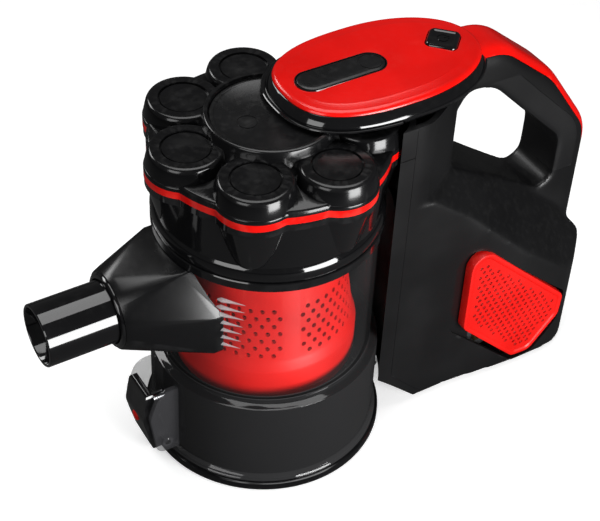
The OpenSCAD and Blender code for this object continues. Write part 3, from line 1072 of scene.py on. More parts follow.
BLACK_GLOSS = Plastic(
    "black_gloss", "gloss_black", (0.0045, 0.0045, 0.005), (0.05, 0.05, 0.052), 0.075,
    spread=0.02, grain_size=260.0, grain_depth=0.004, wear=0.2, dust=0.05, coat=0.6,
)
BLACK_SATIN = Plastic(
    "black_satin", "satin_black", (0.005, 0.005, 0.0054), (0.045, 0.045, 0.047), 0.34,
    grain_size=1500.0, grain_depth=0.02, wear=0.25,
)
DUCT_BLACK = Plastic(
    "duct_black", "gloss_black", (0.004, 0.004, 0.0044), (0.05, 0.05, 0.052), 0.24,
    spread=0.02, grain_size=260.0, grain_depth=0.004, wear=0.15, dust=0.04,
)
GRIP_SATIN = Plastic(
    "grip_satin", "satin_black", (0.006, 0.006, 0.0065), (0.045, 0.045, 0.045), 0.4,
    grain_size=1900.0, grain_depth=0.035, wear=0.3,
)
KEY_SATIN = Plastic(
    "key_satin", "satin_black", (0.007, 0.007, 0.0075), (0.05, 0.05, 0.05), 0.28,
    spread=0.03, grain_size=1500.0, grain_depth=0.012,
)
PETAL_SATIN = Plastic(
    "petal_satin", "gloss_black", (0.0055, 0.0055, 0.006), (0.05, 0.05, 0.05), 0.17,
    spread=0.03, grain_size=700.0, grain_depth=0.004, wear=0.2,
)
RED_GLOSS = Plastic(
    "red_gloss", "red_gloss", (0.92, 0.0045, 0.002), (1.0, 0.12, 0.09), 0.22,
    spread=0.03, grain_size=300.0, grain_depth=0.004, wear=0.2, dust=0.03, coat=0.12,
)
RED_SATIN = Plastic(
    "red_satin", "red_satin", (0.8, 0.006, 0.003), (0.95, 0.08, 0.05), 0.4,
    grain_size=1200.0, grain_depth=0.015, wear=0.2, dust=0.03,
)
GREY_PLASTIC = Plastic(
    "grey_plastic", "grey_plastic", (0.05, 0.05, 0.055), (0.12, 0.12, 0.12), 0.42
)
SMOKY_BIN = ClearPlastic(
    "smoky_bin", "smoky_clear", (0.018, 0.018, 0.0187), (0.16, 0.16, 0.165), 0.96, 0.04,
    rim_alpha=0.12,
)
BEAD_TRIM = ClearPlastic(
    "bead_trim", "smoky_clear", (0.03, 0.03, 0.031), (0.1, 0.1, 0.1), 0.9, 0.9
)
# Above the level only the clear ribs use this finish: its light grey, part-opaque colour there is a
# painted whitish glint.
CLEAR_TRIM = ClearPlastic(
    "clear_trim", "smoky_clear", (0.07, 0.07, 0.075), (0.62, 0.60, 0.62), 0.36, 0.42
)
# The second colour of each fibre below is painted shade for the low spots of its bump.
RUBBER = Fibre(
    "rubber", "black_rubber", (0.02, 0.02, 0.021), (0.008, 0.008, 0.008), 500.0, 0.05, 0.7
)
FOAM = Fibre("foam", "grey_foam", (0.06, 0.06, 0.07), (0.012, 0.012, 0.014), 650.0, 0.5)
FILTER = Fibre("filter_felt", "white_filter", (0.74, 0.73, 0.69), (0.42, 0.41, 0.38), 900.0, 0.3)
CARBON = Fibre(
    "carbon", "carbon", (0.015, 0.015, 0.016), (0.006, 0.006, 0.006), 1200.0, 0.04, 0.5
)
STEEL = Metal("bright_steel", "bright_steel", (0.62, 0.62, 0.64), 0.2, 500.0)
MOTOR_STEEL = Metal("motor_steel", "motor_steel", (0.38, 0.38, 0.40), 0.36, 1400.0)
ALUMINIUM = Metal("fan_aluminium", "fan_aluminium", (0.78, 0.79, 0.81), 0.3, 400.0)
BRASS = Metal("brass", "brass", (0.72, 0.50, 0.20), 0.26, 600.0)


class Workshop:
    """Hands out materials and sends finished pieces to their bodies."""

    def __init__(self) -> None:
        """Builds the shared effects."""
        self.effects = Effects()
        self.materials: dict[str, bpy.types.Material] = {}

    def material(self, finish: object) -> bpy.types.Material:
        """Finds or builds a finish's material.

        Args:
            finish: the finish.

        Returns:
            Its material, built once.
        """
        if finish.name not in self.materials:
            self.materials[finish.name] = finish.make(self.effects)
        return self.materials[finish.name]

    def deliver(
        self, piece: Piece, body: Body, finish: object, *nodes: str, angle: float = 32.0
    ) -> Piece:
        """Shades and dresses a piece, and lets it ride on its body.

        Args:
            piece: the finished mesh.
            body: the body it moves with.
            finish: its finish.
            nodes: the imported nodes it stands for.
            angle: edges sharper than this, in degrees, stay crisp.

        Returns:
            The piece.
        """
        soften(piece, angle)
        piece.data.materials.clear()
        piece.data.materials.append(self.material(finish))
        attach(piece, body.value)
        if nodes:
            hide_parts(*nodes)
        LOG.info("%s: %d faces on %s", piece.name, len(piece.data.polygons), body.value)
        return piece


# ---- The dust bin ----------------------------------------------------------------------
@dataclass
class BinAssembly:
    """The clear dust bin with its bead, brackets, door and latch lever."""

    shop: Workshop
    lower_r: float = 62.0
    upper_r: float = 57.5
    wall_t: float = 2.2
    floor: float = 5.1
    shoulder: float = 59.0
    top: float = 139.6
    bead_r: float = 64.0
    door_r: float = 65.8
    door_t: float = 5.0
    door_ribs: int = 6
    hinge: Point = (68.5, 7.0)
    latch_pin: Point = (-67.5, 17.0)
    pin_bore: float = 1.56
    inlet_z: float = 113.4
    inlet_bore: float = 15.0
    bracket_side: tuple[Corner, ...] = (
        (-71, 55, 9), (-77, 38, 9), (-73, 9.6, 5), (-50, 9.6, 0), (-50, 55, 0),
    )
    door_ear_side: tuple[Corner, ...] = (
        (60, 5.3, 0), (66, 5.3, 0), (67, 3.8, 0), (70, 3.8, 2), (72, 7, 3), (70, 10.4, 2),
        (60, 14, 0),
    )
    hook_side: tuple[Corner, ...] = (
        (60, 22, 0), (69, 24.5, 2), (73.6, 25.5, 2), (74, 33, 3), (70, 34.5, 3), (60, 38, 0),
    )
    lever_side: tuple[Corner, ...] = (
        (-66.6, 0.6, 0.8), (-70.5, 0.6, 1), (-75, 14, 8), (-79.5, 34, 12), (-76.5, 52.5, 2),
        (-72.5, 51, 1.5), (-70.5, 24, 3), (-65, 20, 2), (-64.7, 8, 1),
    )
    lever_face: tuple[Corner, ...] = (
        (0, -0.5, 3), (7.5, 6, 8), (11, 24, 10), (10.2, 53, 5),
        (-10.2, 53, 5), (-11, 24, 10), (-7.5, 6, 8),
    )

    def wall(self) -> Piece:
        """Turns the bin's wall and opens it for the inlet.

        Returns:
            The wall.
        """
        low, up, step, top = self.lower_r, self.upper_r, self.shoulder, self.top
        inner_low, inner_up = low - self.wall_t, up - self.wall_t
        piece = lathe("bin_wall", [
            (inner_low, self.floor), (low, self.floor), (low, step - 0.6), (low - 0.35, step + 0.2),
            (low - 1.2, step + 0.6), (up + 1.0, step + 1.2), (up + 0.25, step + 1.7),
            (up, step + 2.6), (up, top), (inner_up, top), (inner_up, step - 1.0),
            (inner_low, step - 2.5),
        ], steps=160)
        hole = rod("hole", Along.X, (0, self.inlet_z), -70, -48, self.inlet_bore, 64)
        combine(piece, hole, "DIFFERENCE")
        return self.shop.deliver(piece, Body.BIN, SMOKY_BIN, "bin_container")

    def bead(self) -> Piece:
        """Turns the doubled bead above the door.

        Returns:
            The bead.
        """
        r, inner = self.bead_r, self.lower_r + 0.05
        piece = lathe("bin_bead", [
            (inner, self.floor), (r - 0.5, self.floor), (r, 5.6), (r, 6.4), (r - 0.5, 7.0),
            (r - 0.2, 7.5), (r - 0.4, 8.4), (r - 1.0, 9.0), (inner, 9.8),
        ], steps=160)
        return self.shop.deliver(piece, Body.BIN, BEAD_TRIM)

    def ear(
        self, name: str, side: Sequence[Corner], low: float, high: float, finish: object
    ) -> Piece:
        """Makes one ear on the outside of the bin.

        Args:
            name: its name.
            side: its outline in X and Z.
            low: its lowest Y.
            high: its highest Y.
            finish: its finish.

        Returns:
            The ear.
        """
        piece = prism(name, Outline(side).points(6), low, high, Along.Y)
        bevel(piece, 0.6, 2, 50.0)
        combine(piece, drum("core", self.lower_r + 0.03, -5, 90), "DIFFERENCE")
        return self.shop.deliver(piece, Body.BIN, finish)

    def bracket(self) -> None:
        """Builds the clear latch bracket's two cheeks and the bosses round its pin."""
        for number, side in enumerate((-1, 1)):
            low, high = across(side, 11.5, 14.6)
            self.ear(f"latch_bracket_{number}", self.bracket_side, low, high, CLEAR_TRIM)
            boss = lathe("boss", [(1.6, 0), (3.4, 0), (3.4, 0.7), (2.8, 1.1), (1.6, 1.1)], 48)
            boss.data.transform(turned(-90 * side, "X"))
            boss.data.transform(shifted(self.latch_pin[0], side * 14.62, self.latch_pin[1]))
            boss.name = f"latch_boss_{number}"
            self.shop.deliver(boss, Body.BIN, CLEAR_TRIM)

    def lever(self) -> None:
        """Builds the shield-shaped latch lever and the red dot on its face."""
        side, front = Outline(self.lever_side), Outline(self.lever_face)
        piece = prism("latch_shield", side.points(10), -11, 11, Along.Y)
        combine(piece, prism("face", front.points(8), -90, -60, Along.X), "INTERSECT")
        groove = prism("groove", front.inset(2.6).points(8), -90, -60, Along.X)
        inner = prism("inner", front.inset(3.3).points(8), -91, -59, Along.X)
        combine(groove, inner, "DIFFERENCE")
        depth = prism("depth", side.inset(0.45).points(10), -12, 12, Along.Y)
        combine(groove, depth, "DIFFERENCE")
        combine(piece, groove, "DIFFERENCE")
        combine(piece, rod("pin", Along.Y, self.latch_pin, -12, 12, self.pin_bore), "DIFFERENCE")
        self.shop.deliver(piece, Body.LATCH, BLACK_GLOSS, "latch_lever")
        dot = lathe("latch_dot", [
            (AXIS, 0), (3.2, 0), (3.2, 0.5), (2.7, 1.0), (1.6, 1.4), (AXIS, 1.55),
        ], 48)
        dot.data.transform(shifted(-78.4, 0, 30.0) @ turned(-90, "Y"))
        self.shop.deliver(dot, Body.LATCH, RED_SATIN)

    def door(self) -> Piece:
        """Turns the door with its foot ring, radial ribs and hinge knuckle.

        Returns:
            The door.
        """
        r, t = self.door_r, self.door_t
        piece = lathe("door_pan", [
            (AXIS, 1.4), (50, 1.4), (51, 0), (r - 1.5, 0), (r - 0.4, 0.4), (r, 1.5), (r, t - 1.4),
            (r - 0.4, t - 0.3), (r - 1.2, t), (57.6, t), (57.6, 9.6), (57.2, 10), (55, 10),
            (54.6, 9.6), (54.6, t), (AXIS, t),
        ], steps=160)
        ribs = []
        for number in range(self.door_ribs):
            rib = prism("rib", rounded_box(44, 1.6, 0.6, (28, 0)).points(3), 0.3, 2.0)
            rib.data.transform(turned(360 / self.door_ribs * (number + 0.5)))
            ribs.append(rib)
        ribs.append(lathe("rib_ring", [(6.0, 0.3), (8.0, 0.3), (8.0, 2.0), (6.0, 2.0)], 48))
        combine(piece, fused("ribs", ribs), "UNION")
        knuckle = rod("knuckle", Along.Y, self.hinge, -7.5, 7.5, 3.2)
        tongue = prism("tongue", rounded_box(8, 15, 0.8, (65.5, 0)).points(3), 0.6, 4.6)
        combine(knuckle, tongue, "UNION")
        combine(knuckle, rod("bore", Along.Y, self.hinge, -9, 9, self.pin_bore), "DIFFERENCE")
        piece = joined("door_pan", [piece, knuckle])
        return self.shop.deliver(piece, Body.DOOR, BLACK_GLOSS, "bin_door")

    def build(self) -> None:
        """Builds the whole bin."""
        self.wall()
        self.bead()
        self.bracket()
        ears = (
            ("door_ear", self.door_ear_side, 7.8, 11.0), ("pivot_hook", self.hook_side, 8.0, 12.0),
        )
        for number, side in enumerate((-1, 1)):
            for name, outline, near, far in ears:
                self.ear(f"{name}_{number}", outline, *across(side, near, far), CLEAR_TRIM)
        self.lever()
        self.door()


# ---- The inlet -------------------------------------------------------------------------
@dataclass
class InletAssembly:
    """The duct on the bin's side, the tube in it and the clear ribs beside it."""

    shop: Workshop
    axis_z: float = 113.4
    bin_r: float = 57.6
    mouth_x: float = -129.0
    tube_r: float = 16.4
    tube_t: float = 1.8
    seat_r: float = 17.3
    way_r: float = 15.0
    ribs: int = 7
    rib_length: float = 14.5
    rib_pitch: float = 5.0
    top_rib_z: float = 129.5
    ribs_at: float = 215.4
    ribs_reach: float = 58.2
    foot_corners: tuple[tuple[float, float, float, float], ...] = (
        (-60, 19, 138.5, 1.8), (-50, 33.5, 118, 2.4), (-50, 33.5, 96, 2.4),
    )

    def _bar(self, name: str, low: float, high: float, radius: float) -> Piece:
        """Returns a round bar along the duct's axis."""
        return rod(name, Along.X, (0, self.axis_z), low, high, radius, 72)

    def duct(self) -> Piece:
        """Stretches a skin from the round collar to the duct's flat foot on the bin.

        Returns:
            The duct.
        """
        frames = [self._bar("disc", -90.6, -89.6, 20.9), self._bar("disc", -87.0, -86.0, 22.4)]
        for side in (-1, 1):
            for start, y, z, radius in self.foot_corners:
                frames.append(rod("corner", Along.X, (side * y, z), start, start + 7, radius, 24))
        piece = joined("duct_shell", frames)
        with editing(piece, "VERT"):
            bpy.ops.mesh.select_all(action="SELECT")
            bpy.ops.mesh.convex_hull(
                delete_unused=True, use_existing_faces=False, join_triangles=True
            )
            bpy.ops.mesh.select_all(action="SELECT")
            bpy.ops.mesh.dissolve_limited(angle_limit=math.radians(1.0))
        bevel(piece, 0.7, 3, 28.0)
        hollow = fused("hollow", [
            drum("bin_body", self.bin_r, 60, 160),
            self._bar("seat", -95, -72, self.seat_r),
            self._bar("way", -95, -40, self.way_r),
        ])
        combine(piece, hollow, "DIFFERENCE")
        return self.shop.deliver(piece, Body.BIN, DUCT_BLACK, "inlet_duct", angle=24.0)

    def tube(self) -> None:
        """Turns the tube, its rounded lip and the trim ring where it enters the duct."""
        r, bore, x = self.tube_r, self.tube_r - self.tube_t, self.mouth_x
        tube = lathe("tube", [
            (bore, x + 0.5), (bore + 0.3, x), (r - 0.4, x), (r, x + 0.5), (r, x + 34),
            (17.2, x + 44), (17.2, -72.2), (bore, -72.2),
        ], 128)
        ring = lathe("tube_trim", [
            (17.35, -92.2), (18.6, -92.2), (19.4, -91.9), (19.9, -91.2), (20.0, -90.65),
            (17.35, -90.65),
        ], 96)
        for piece, node in ((tube, ("inlet_tube",)), (ring, ())):
            laid_along_x(piece)
            piece.data.transform(shifted(0, 0, self.axis_z))
            self.shop.deliver(piece, Body.BIN, BLACK_GLOSS, *node)

    def clear_ribs(self) -> None:
        """Builds the pointed clear ribs on the bin beside the duct's near edge."""
        shape = [
            (0.0, 0.5, 0.5), (2.2, 1.9, 1.3), (4.6, 1.5, 1.1), (7.2, 1.05, 0.8),
            (self.rib_length, 0.1, 0.1),
        ]
        diamond = [(1, 0), (0, 1), (-1, 0), (0, -1)]
        for number in range(self.ribs):
            rib = loft(
                f"clear_rib_{number}",
                [([(y * wide, z * high) for y, z in diamond], at) for at, high, wide in shape],
                Along.X,
            )
            bevel(rib, 0.25, 2, 30.0)
            turn = self.ribs_at - 0.4 * number
            start = math.radians(turn)
            move = shifted(
                self.ribs_reach * math.cos(start), self.ribs_reach * math.sin(start),
                self.top_rib_z - self.rib_pitch * number,
            )
            rib.data.transform(move @ turned(turn + 97))
            # The finish's light grey colour paints a whitish glint on these ribs.
            self.shop.deliver(rib, Body.BIN, CLEAR_TRIM)

    def build(self) -> None:
        """Builds the whole inlet."""
        self.duct()
        self.tube()
        self.clear_ribs()


# ---- The cyclone and its cap -----------------------------------------------------------
@dataclass
class CycloneAssembly:
    """The red perforated shroud inside the clear bin."""

    shop: Workshop
    radius: float = 46.5
    top_r: float = 38.0
    skirt: float = 49.0
    hole_r: float = 1.35
    rows: int = 7
    columns: int = 44
    row_pitch: float = 4.6
    first_row: float = 83.0
    bands: int = 5
    band_width: float = 14.0
    band_at: float = 38.0

    def _is_plain(self, turn: float) -> bool:
        """Tells whether a direction, in degrees, falls in a plain band between two groups."""
        return (turn + self.band_at) % (360 / self.bands) < self.band_width

    def build(self) -> None:
        """Turns the shroud and drills its staggered holes, leaving the plain bands."""
        r, s, top = self.radius, self.skirt, self.top_r
        piece = lathe("perforated_shroud", [
            (r - 2, 78), (s - 2, 72), (s - 2, 54.4), (s - 1.6, 54), (s - 0.4, 54), (s, 54.4),
            (s, 72.4), (s - 0.4, 74.4), (r + 0.5, 78.8), (r - 0.1, 80.8), (top, 140.5),
            (top - 2, 140.5),
        ], 144)
        places = []
        for row in range(self.rows):
            for column in range(self.columns):
                turn = 360 / self.columns * (column + 0.5 * (row % 2))
                if not self._is_plain(turn):
                    rise = shifted(0, 0, self.first_row + row * self.row_pitch)
                    places.append(rise @ turned(turn))
        drilled(piece, rod("drill", Along.X, (0, 0), top - 5, r + 3, self.hole_r, 10), places)
        self.shop.deliver(piece, Body.BIN, RED_SATIN, "cyclone_shroud")


@dataclass
class CapAssembly:
    """The flower-shaped cap: its fluted housing, red stripe, petals and centre disc."""

    shop: Workshop
    petals: int = 7
    pitch: float = 46.0
    petal_r: float = 20.5
    valley_r: float = 60.5
    ring_r: float = 59.8
    base: float = 140.6
    stripe: float = 184.0
    stripe_h: float = 4.0
    petal_top: float = 199.6
    disc_r: float = 12.5
    centre_top: float = 204.8

    def petal_angles(self) -> list[float]:
        """Lists the petals' directions, in radians."""
        return [math.pi + math.tau * number / self.petals for number in range(self.petals)]

    def at_petals(self, piece: Piece) -> list[Piece]:
        """Copies a piece made at the centre to every petal and removes the first.

        Args:
            piece: the piece, made on the middle axis.

        Returns:
            One copy for each petal, turned to face outwards.
        """
        copies = []
        for angle in self.petal_angles():
            twin = copy_of(piece, piece.name)
            twin.data.transform(Matrix.Rotation(angle, 4, "Z") @ shifted(self.pitch, 0, 0))
            copies.append(twin)
        bpy.data.objects.remove(piece)
        return copies

    def flower(self, grow: float = 0.0, steps: int = 336) -> list[Point]:
        """Traces the flower outline: petal arcs joined by flatter arcs.

        Args:
            grow: how far the outline is moved out, in millimetres.
            steps: how many points go round.

        Returns:
            The outline's points.
        """
        found = []
        for step in range(steps):
            angle = math.tau * step / steps
            reach = self.valley_r + grow
            for petal in self.petal_angles():
                off = math.remainder(angle - petal, math.tau)
                inside = (self.petal_r + grow) ** 2 - (self.pitch * math.sin(off)) ** 2
                if inside > 0 and math.cos(off) > 0:
                    reach = max(reach, self.pitch * math.cos(off) + math.sqrt(inside))
            found.append((reach * math.cos(angle), reach * math.sin(angle)))
        return found

    def housing(self) -> Piece:
        """Builds the glossy ring with a tapering flute under every petal.

        Returns:
            The housing.
        """
        r, z, top = self.ring_r, self.base, self.stripe
        piece = lathe("cap_skirt", [
            (54.9, z), (57.0, z), (r - 0.5, z), (r, z + 0.5), (r, z + 4.8), (r - 0.4, z + 5.3),
            (r - 1.3, z + 5.6), (r - 1.3, z + 6.0), (r - 0.5, z + 6.3), (r - 0.05, z + 7.2),
            (r, z + 9.5), (r - 0.35, z + 11.6), (r - 1.0, z + 13.0), (r - 1.8, z + 14.0),
            (r - 1.9, z + 16.0), (self.valley_r - 0.9, top - 3.6), (50, top - 3.6),
            (50, top - 24), (54.9, z + 8),
        ], 168)
        flute = lathe("flute", [
            (AXIS, 150.0), (8.8, 150.0), (10.8, 150.8), (12.3, 152.6), (14.6, 160.0),
            (19.8, 180.4), (AXIS, 180.4),
        ], 72)
        for twin in self.at_petals(flute):
            combine(piece, twin, "UNION")
        combine(piece, prism("collar", self.flower(-0.25), top - 4.2, top - 0.02), "UNION")
        bore = lathe("bore", [
            (AXIS, z + 2), (56.9, z + 2), (56.9, top - 8), (55, top + 4), (AXIS, top + 4),
        ], 120)
        combine(piece, bore, "DIFFERENCE")
        return self.shop.deliver(piece, Body.BIN, BLACK_GLOSS, "cap_housing", angle=26.0)

    def stripe_ring(self) -> Piece:
        """Builds the red stripe round the flower.

        Returns:
            The stripe.
        """
        piece = prism("cap_band", self.flower(0.0), self.stripe, self.stripe + self.stripe_h)
        combine(piece, drum("bore", 51.5, 170, 200, 96), "DIFFERENCE")
        return self.shop.deliver(piece, Body.BIN, RED_GLOSS, "cap_stripe")

    def _cover_cuts(self, low: float, top: float) -> Piece:
        """Joins what is cut out of the cover: the centre's seat, the dishes and the inside.

        Args:
            low: the cover's lowest level, in millimetres.
            top: the petals' top.

        Returns:
            The cutting tool.
        """
        disc = self.disc_r
        seat = lathe("centre", [
            (AXIS, 200.0), (29.6, 200.0), (30.2, 200.4), (30.4, 203.6), (31.0, 206), (AXIS, 206),
        ], 144)
        dish = lathe("dish", [
            (AXIS, top - 0.55), (disc - 0.9, top - 0.55), (disc - 0.7, top - 1.5),
            (disc, top - 1.5), (disc + 0.3, top + 1.0), (AXIS, top + 1.0),
        ], 72)
        pocket = drum("pocket", 11.5, low - 6, low + 6, 48)
        cuts = [seat, *self.at_petals(dish), *self.at_petals(pocket)]
        return fused("cap_cuts", [*cuts, drum("well", 28.5, low - 1, 202, 96)])

    def petal_cover(self) -> Piece:
        """Builds the petals, the valleys between them and the raised centre.

        Returns:
            The cover.
        """
        low, top, centre = self.stripe + self.stripe_h, self.petal_top, self.centre_top
        hill = lathe("petal_cover", [
            (AXIS, low), (60.3, low), (60.3, low + 2.2), (59.8, low + 3.1), (58.8, low + 3.6),
            (41.0, low + 4.1), (38.0, low + 5.0), (35.8, low + 7.0), (34.2, low + 10.0),
            (33.4, low + 12.6), (33.0, centre - 0.9), (32.7, centre - 0.3), (32.1, centre),
            (AXIS, centre),
        ], 168)
        edge = [(0.0, low), (0.0, low + 1.7), (-0.25, low + 2.2), (-0.8, low + 2.5)]
        combine(hill, stepped("lip", self.flower, edge), "UNION")
        r = self.petal_r
        petal = lathe("petal", [
            (AXIS, low + 1), (r - 0.4, low + 1), (r - 0.7, low + 4.6), (r - 1.7, low + 9.2),
            (r - 2.1, low + 10.2), (r - 2.7, top - 0.45), (r - 3.5, top - 0.08), (r - 4.6, top),
            (AXIS, top),
        ], 96)
        for twin in self.at_petals(petal):
            combine(hill, twin, "UNION")
        combine(hill, self._cover_cuts(low, top), "DIFFERENCE")
        return self.shop.deliver(hill, Body.BIN, PETAL_SATIN, "cap_cover", angle=38.0)

    def lid(self) -> Piece:
        """Turns the centre disc with its raised edge and a plain ring mark.

        Returns:
            The disc.
        """
        piece = lathe("lid_disc", [
            (AXIS, 200.1), (30.0, 200.1), (30.0, 202.6), (29.6, 203.0), (28.2, 203.0),
            (27.7, 202.7), (27.2, 202.4), (AXIS, 202.4),
        ], 144)
        ring = lathe("mark", [(4.6, 202.1), (5.3, 202.1), (5.3, 203), (4.6, 203)], 64, (-13.0, 0.0))
        combine(piece, ring, "DIFFERENCE")
        combine(piece, rod("port", Along.Z, OUTLET, 195, 210, OUTLET_R, 64), "DIFFERENCE")
        return self.shop.deliver(piece, Body.BIN, KEY_SATIN, "centre_lid")

    def build(self) -> None:
        """Builds the whole cap."""
        self.housing()
        self.stripe_ring()
        self.petal_cover()
        self.lid()


# ---- The motor body --------------------------------------------------------------------
@dataclass
class MotorBody:
    """The body with its column and handle, sculpted as one form and then split into shells."""

    shop: Workshop
    belly: float = 2.0
    rear: float = 200.0
    half_w: float = 45.0
    column_half_w: float = 40.5
    handle_half_w: float = 16.0
    handle_edge: float = 9.0
    rim: float = 200.0
    deck_end: float = 105.0
    roof_slope: float = 39.0
    roof_at: Point = (100.0, 148.0)
    seam_x: float = 59.0
    skin_r: float = 67.5
    cradle_r: float = 64.5
    waist: float = 28.7
    foot_slope: float = 0.87
    lobe_pitch: float = 46.0
    shell_t: float = 3.0
    hole_r: float = 1.15
    hole_pitch: float = 4.1
    hole_rows: int = 32
    hole_columns: int = 24
    crest: tuple[Point, ...] = ((8, 7), (17, 4), (26, -2.5), (36, -11.5), (47, -22))
    form: Optional[Piece] = None
    opening_side: tuple[Corner, ...] = (
        (101, 148, 6), (176.5, 97, 9), (177, 136, 16), (150, 162, 60), (126, 186, 26),
        (109, 190, 8), (101, 176, 10),
    )
    handle_side: tuple[Corner, ...] = (
        (92, 120, 0), (150, 60, 0), (199, 60, 0), (199, 138, 30), (168, 181, 60),
        (132, 210, 30), (92, 213.5, 0),
    )
    grille_side: tuple[Corner, ...] = (
        (103, 111, 9), (103, 47, 8), (143, 6.5, 7), (156, 6, 8), (174, 27, 8), (175, 42, 7),
    )
    recess_side: tuple[Corner, ...] = (
        (95.5, 116, 12), (96.5, 45, 10), (141.5, 4.6, 9), (157, 4.0, 10), (176, 25.5, 10),
        (177, 43, 9),
    )

    def _side(self) -> Outline:
        """Returns the body's outline from the side."""
        return Outline([
            (40, self.belly, 0), (self.rear, self.belly, 12), (self.rear, 66, 22), (168, 100, 60),
            (135, 125, 60), (100, 148, 12), (40, 148, 0),
        ])

    def _plan(self) -> Outline:
        """Returns the body's outline from above."""
        return both_sides([
            (40, -self.column_half_w, 0), (100, -self.column_half_w, 60), (140, -self.half_w, 60),
            (178, -self.half_w, 26), (self.rear, -22, 24),
        ])

    def _column_plan(self) -> Outline:
        """Returns the column's outline from above."""
        return both_sides([
            (40, -self.column_half_w, 0), (68, -self.column_half_w, 20), (96, -24, 20),
            (104, -10, 12),
        ])

    def _torso(self, depth: float) -> Piece:
        """Intersects the side, the plan and the sloping roof.

        Args:
            depth: how far every face is moved in, in millimetres.

        Returns:
            The torso.
        """
        piece = prism("torso", self._side().inset(depth).points(8), -60, 60, Along.Y)
        plan = prism("plan", self._plan().inset(depth).points(8), 0, 220)
        combine(piece, plan, "INTERSECT")
        ridge = [(y - depth, z - depth) for y, z in self.crest]
        ridge.append((self.crest[-1][0] - depth, -260))
        outline = [(-y, z) for y, z in ridge] + [(y, z) for y, z in reversed(ridge)]
        roof = prism("roof", outline, -120, 180, Along.X)
        x, z = self.roof_at
        roof.data.transform(shifted(x, 0, z) @ turned(self.roof_slope, "Y"))
        return combine(piece, roof, "INTERSECT")

    def _whole(self, name: str, depth: float, voxel: float, rounds: int) -> Piece:
        """Fuses torso, column and handle, cuts the handle's opening and blends the form.

        Args:
            name: the form's name.
            depth: how far every face is moved in, in millimetres.
            voxel: the sculpted surface's face size.
            rounds: how often it is smoothed.

        Returns:
            The form.
        """
        column = prism(
            "column", self._column_plan().inset(depth).points(8), 90, self.rim + 14 - depth
        )
        half = self.handle_half_w - depth
        side = Outline(self.handle_side).inset(depth).points(8)
        handle = bevel(prism("handle", side, -half, half, Along.Y), self.handle_edge, 5, 60.0)
        whole = fused(name, [self._torso(depth), column, handle])
        gap = Outline(self.opening_side).inset(-depth).points(8)
        combine(whole, prism("gap", gap, -60, 60, Along.Y), "DIFFERENCE")
        return sculpted(whole, voxel, rounds)

    def _with_lobes(self, space: Piece, low: float, high: float, radius: float) -> Piece:
        """Adds room for the cap's two petals that face the body.

        Args:
            space: the space that they are added to.
            low: where they start, in millimetres.
            high: where they end.
            radius: their radius.

        Returns:
            The same space.
        """
        for turn in (-0.5, 0.5):
            angle = turn * math.tau / CapAssembly.petals
            at = (self.lobe_pitch * math.cos(angle), self.lobe_pitch * math.sin(angle))
            combine(space, rod("lobe", Along.Z, at, low, high, radius, 72), "UNION")
        return space

    def dock(self, extra: float) -> Piece:
        """Makes the space that the front column takes.

        Args:
            extra: how far it is grown, in millimetres.

        Returns:
            The space.
        """
        r = self.skin_r + extra
        space = lathe("dock", [
            (AXIS, -1), (95 + extra, -1), (72 + extra, 27), (r, 31), (r, 250), (AXIS, 250),
        ], 160)
        self._with_lobes(space, 142, 232, 25.0 + extra)
        front = block("front", (0, self.seam_x + extra), (-60, 60), (-3, 230))
        return combine(space, front, "UNION")

    def bin_room(self) -> Piece:
        """Makes the space kept clear for the bin, with its tapered foot.

        Returns:
            The space.
        """
        r, waist = self.cradle_r, self.waist
        foot = r + (waist + 2) * self.foot_slope
        room = lathe("bin_room", [
            (AXIS, -2), (foot, -2), (r, waist), (r, 260), (AXIS, 260),
        ], 160)
        return self._with_lobes(room, 145, 245, 22.0)

    def grip_room(self, extra: float) -> Piece:
        """Makes the zone on the handle's inner side that the grip insert takes.

        Args:
            extra: how far it is grown, in millimetres.

        Returns:
            The zone.
        """
        outline = Outline(self.opening_side).inset(-13 - extra).points(10)
        room = prism("grip_room", outline, -30, 30, Along.Y)
        front = 112 - extra
        limit = prism("limit", [
            (front, 162), (150, 134 - extra), (175, front), (190 + extra, front),
            (190 + extra, 190), (front, 190),
        ], -31, 31, Along.Y)
        return combine(room, limit, "INTERSECT")

    def spine_room(self, extra: float) -> Piece:
        """Makes the zone along the handle's back that the red spine takes.

        Args:
            extra: how far it is grown, in millimetres.

        Returns:
            The zone.
        """
        low = 128 - extra
        corners = [(98, low), (240, low), (240, 240), (98, 240)]
        room = prism("spine_room", corners, -60, 60, Along.Y)
        side = Outline(self.handle_side).inset(4.5 + extra).points(10)
        return combine(room, prism("core", side, -61, 61, Along.Y), "DIFFERENCE")

    def deck_room(self) -> Piece:
        """Returns the space above the column that the rim and the cover take."""
        return block("deck", (0, self.deck_end), (-60, 60), (self.rim, 240))

    def shells(self) -> None:
        """Cuts every zone out of the form, hollows it and splits it at the middle plane."""
        whole = copy_of(self.form, "shells")
        combine(whole, self._whole("hollow", self.shell_t, 2.4, 3), "DIFFERENCE")
        cuts = fused("cuts", [
            self.dock(0.2), self.deck_room(), self.grip_room(0.15), self.spine_room(0.15),
            rod("gland", Along.X, (0, 22), 190, 210, 5.0),
        ])
        recess = prism("recess", Outline(self.recess_side).points(8), -60, -38.8, Along.Y)
        combine(cuts, mirrored_copy(recess, "recess_right"), "UNION")
        combine(cuts, recess, "UNION")
        combine(whole, cuts, "DIFFERENCE")
        halves = (("shell_left", True, "left_shell"), ("shell_right", False, "right_shell"))
        for name, left, node in halves:
            half = half_of(whole, name, left)
            self.shop.deliver(half, Body.MOTOR, BLACK_SATIN, node, angle=30.0)
        bpy.data.objects.remove(whole)

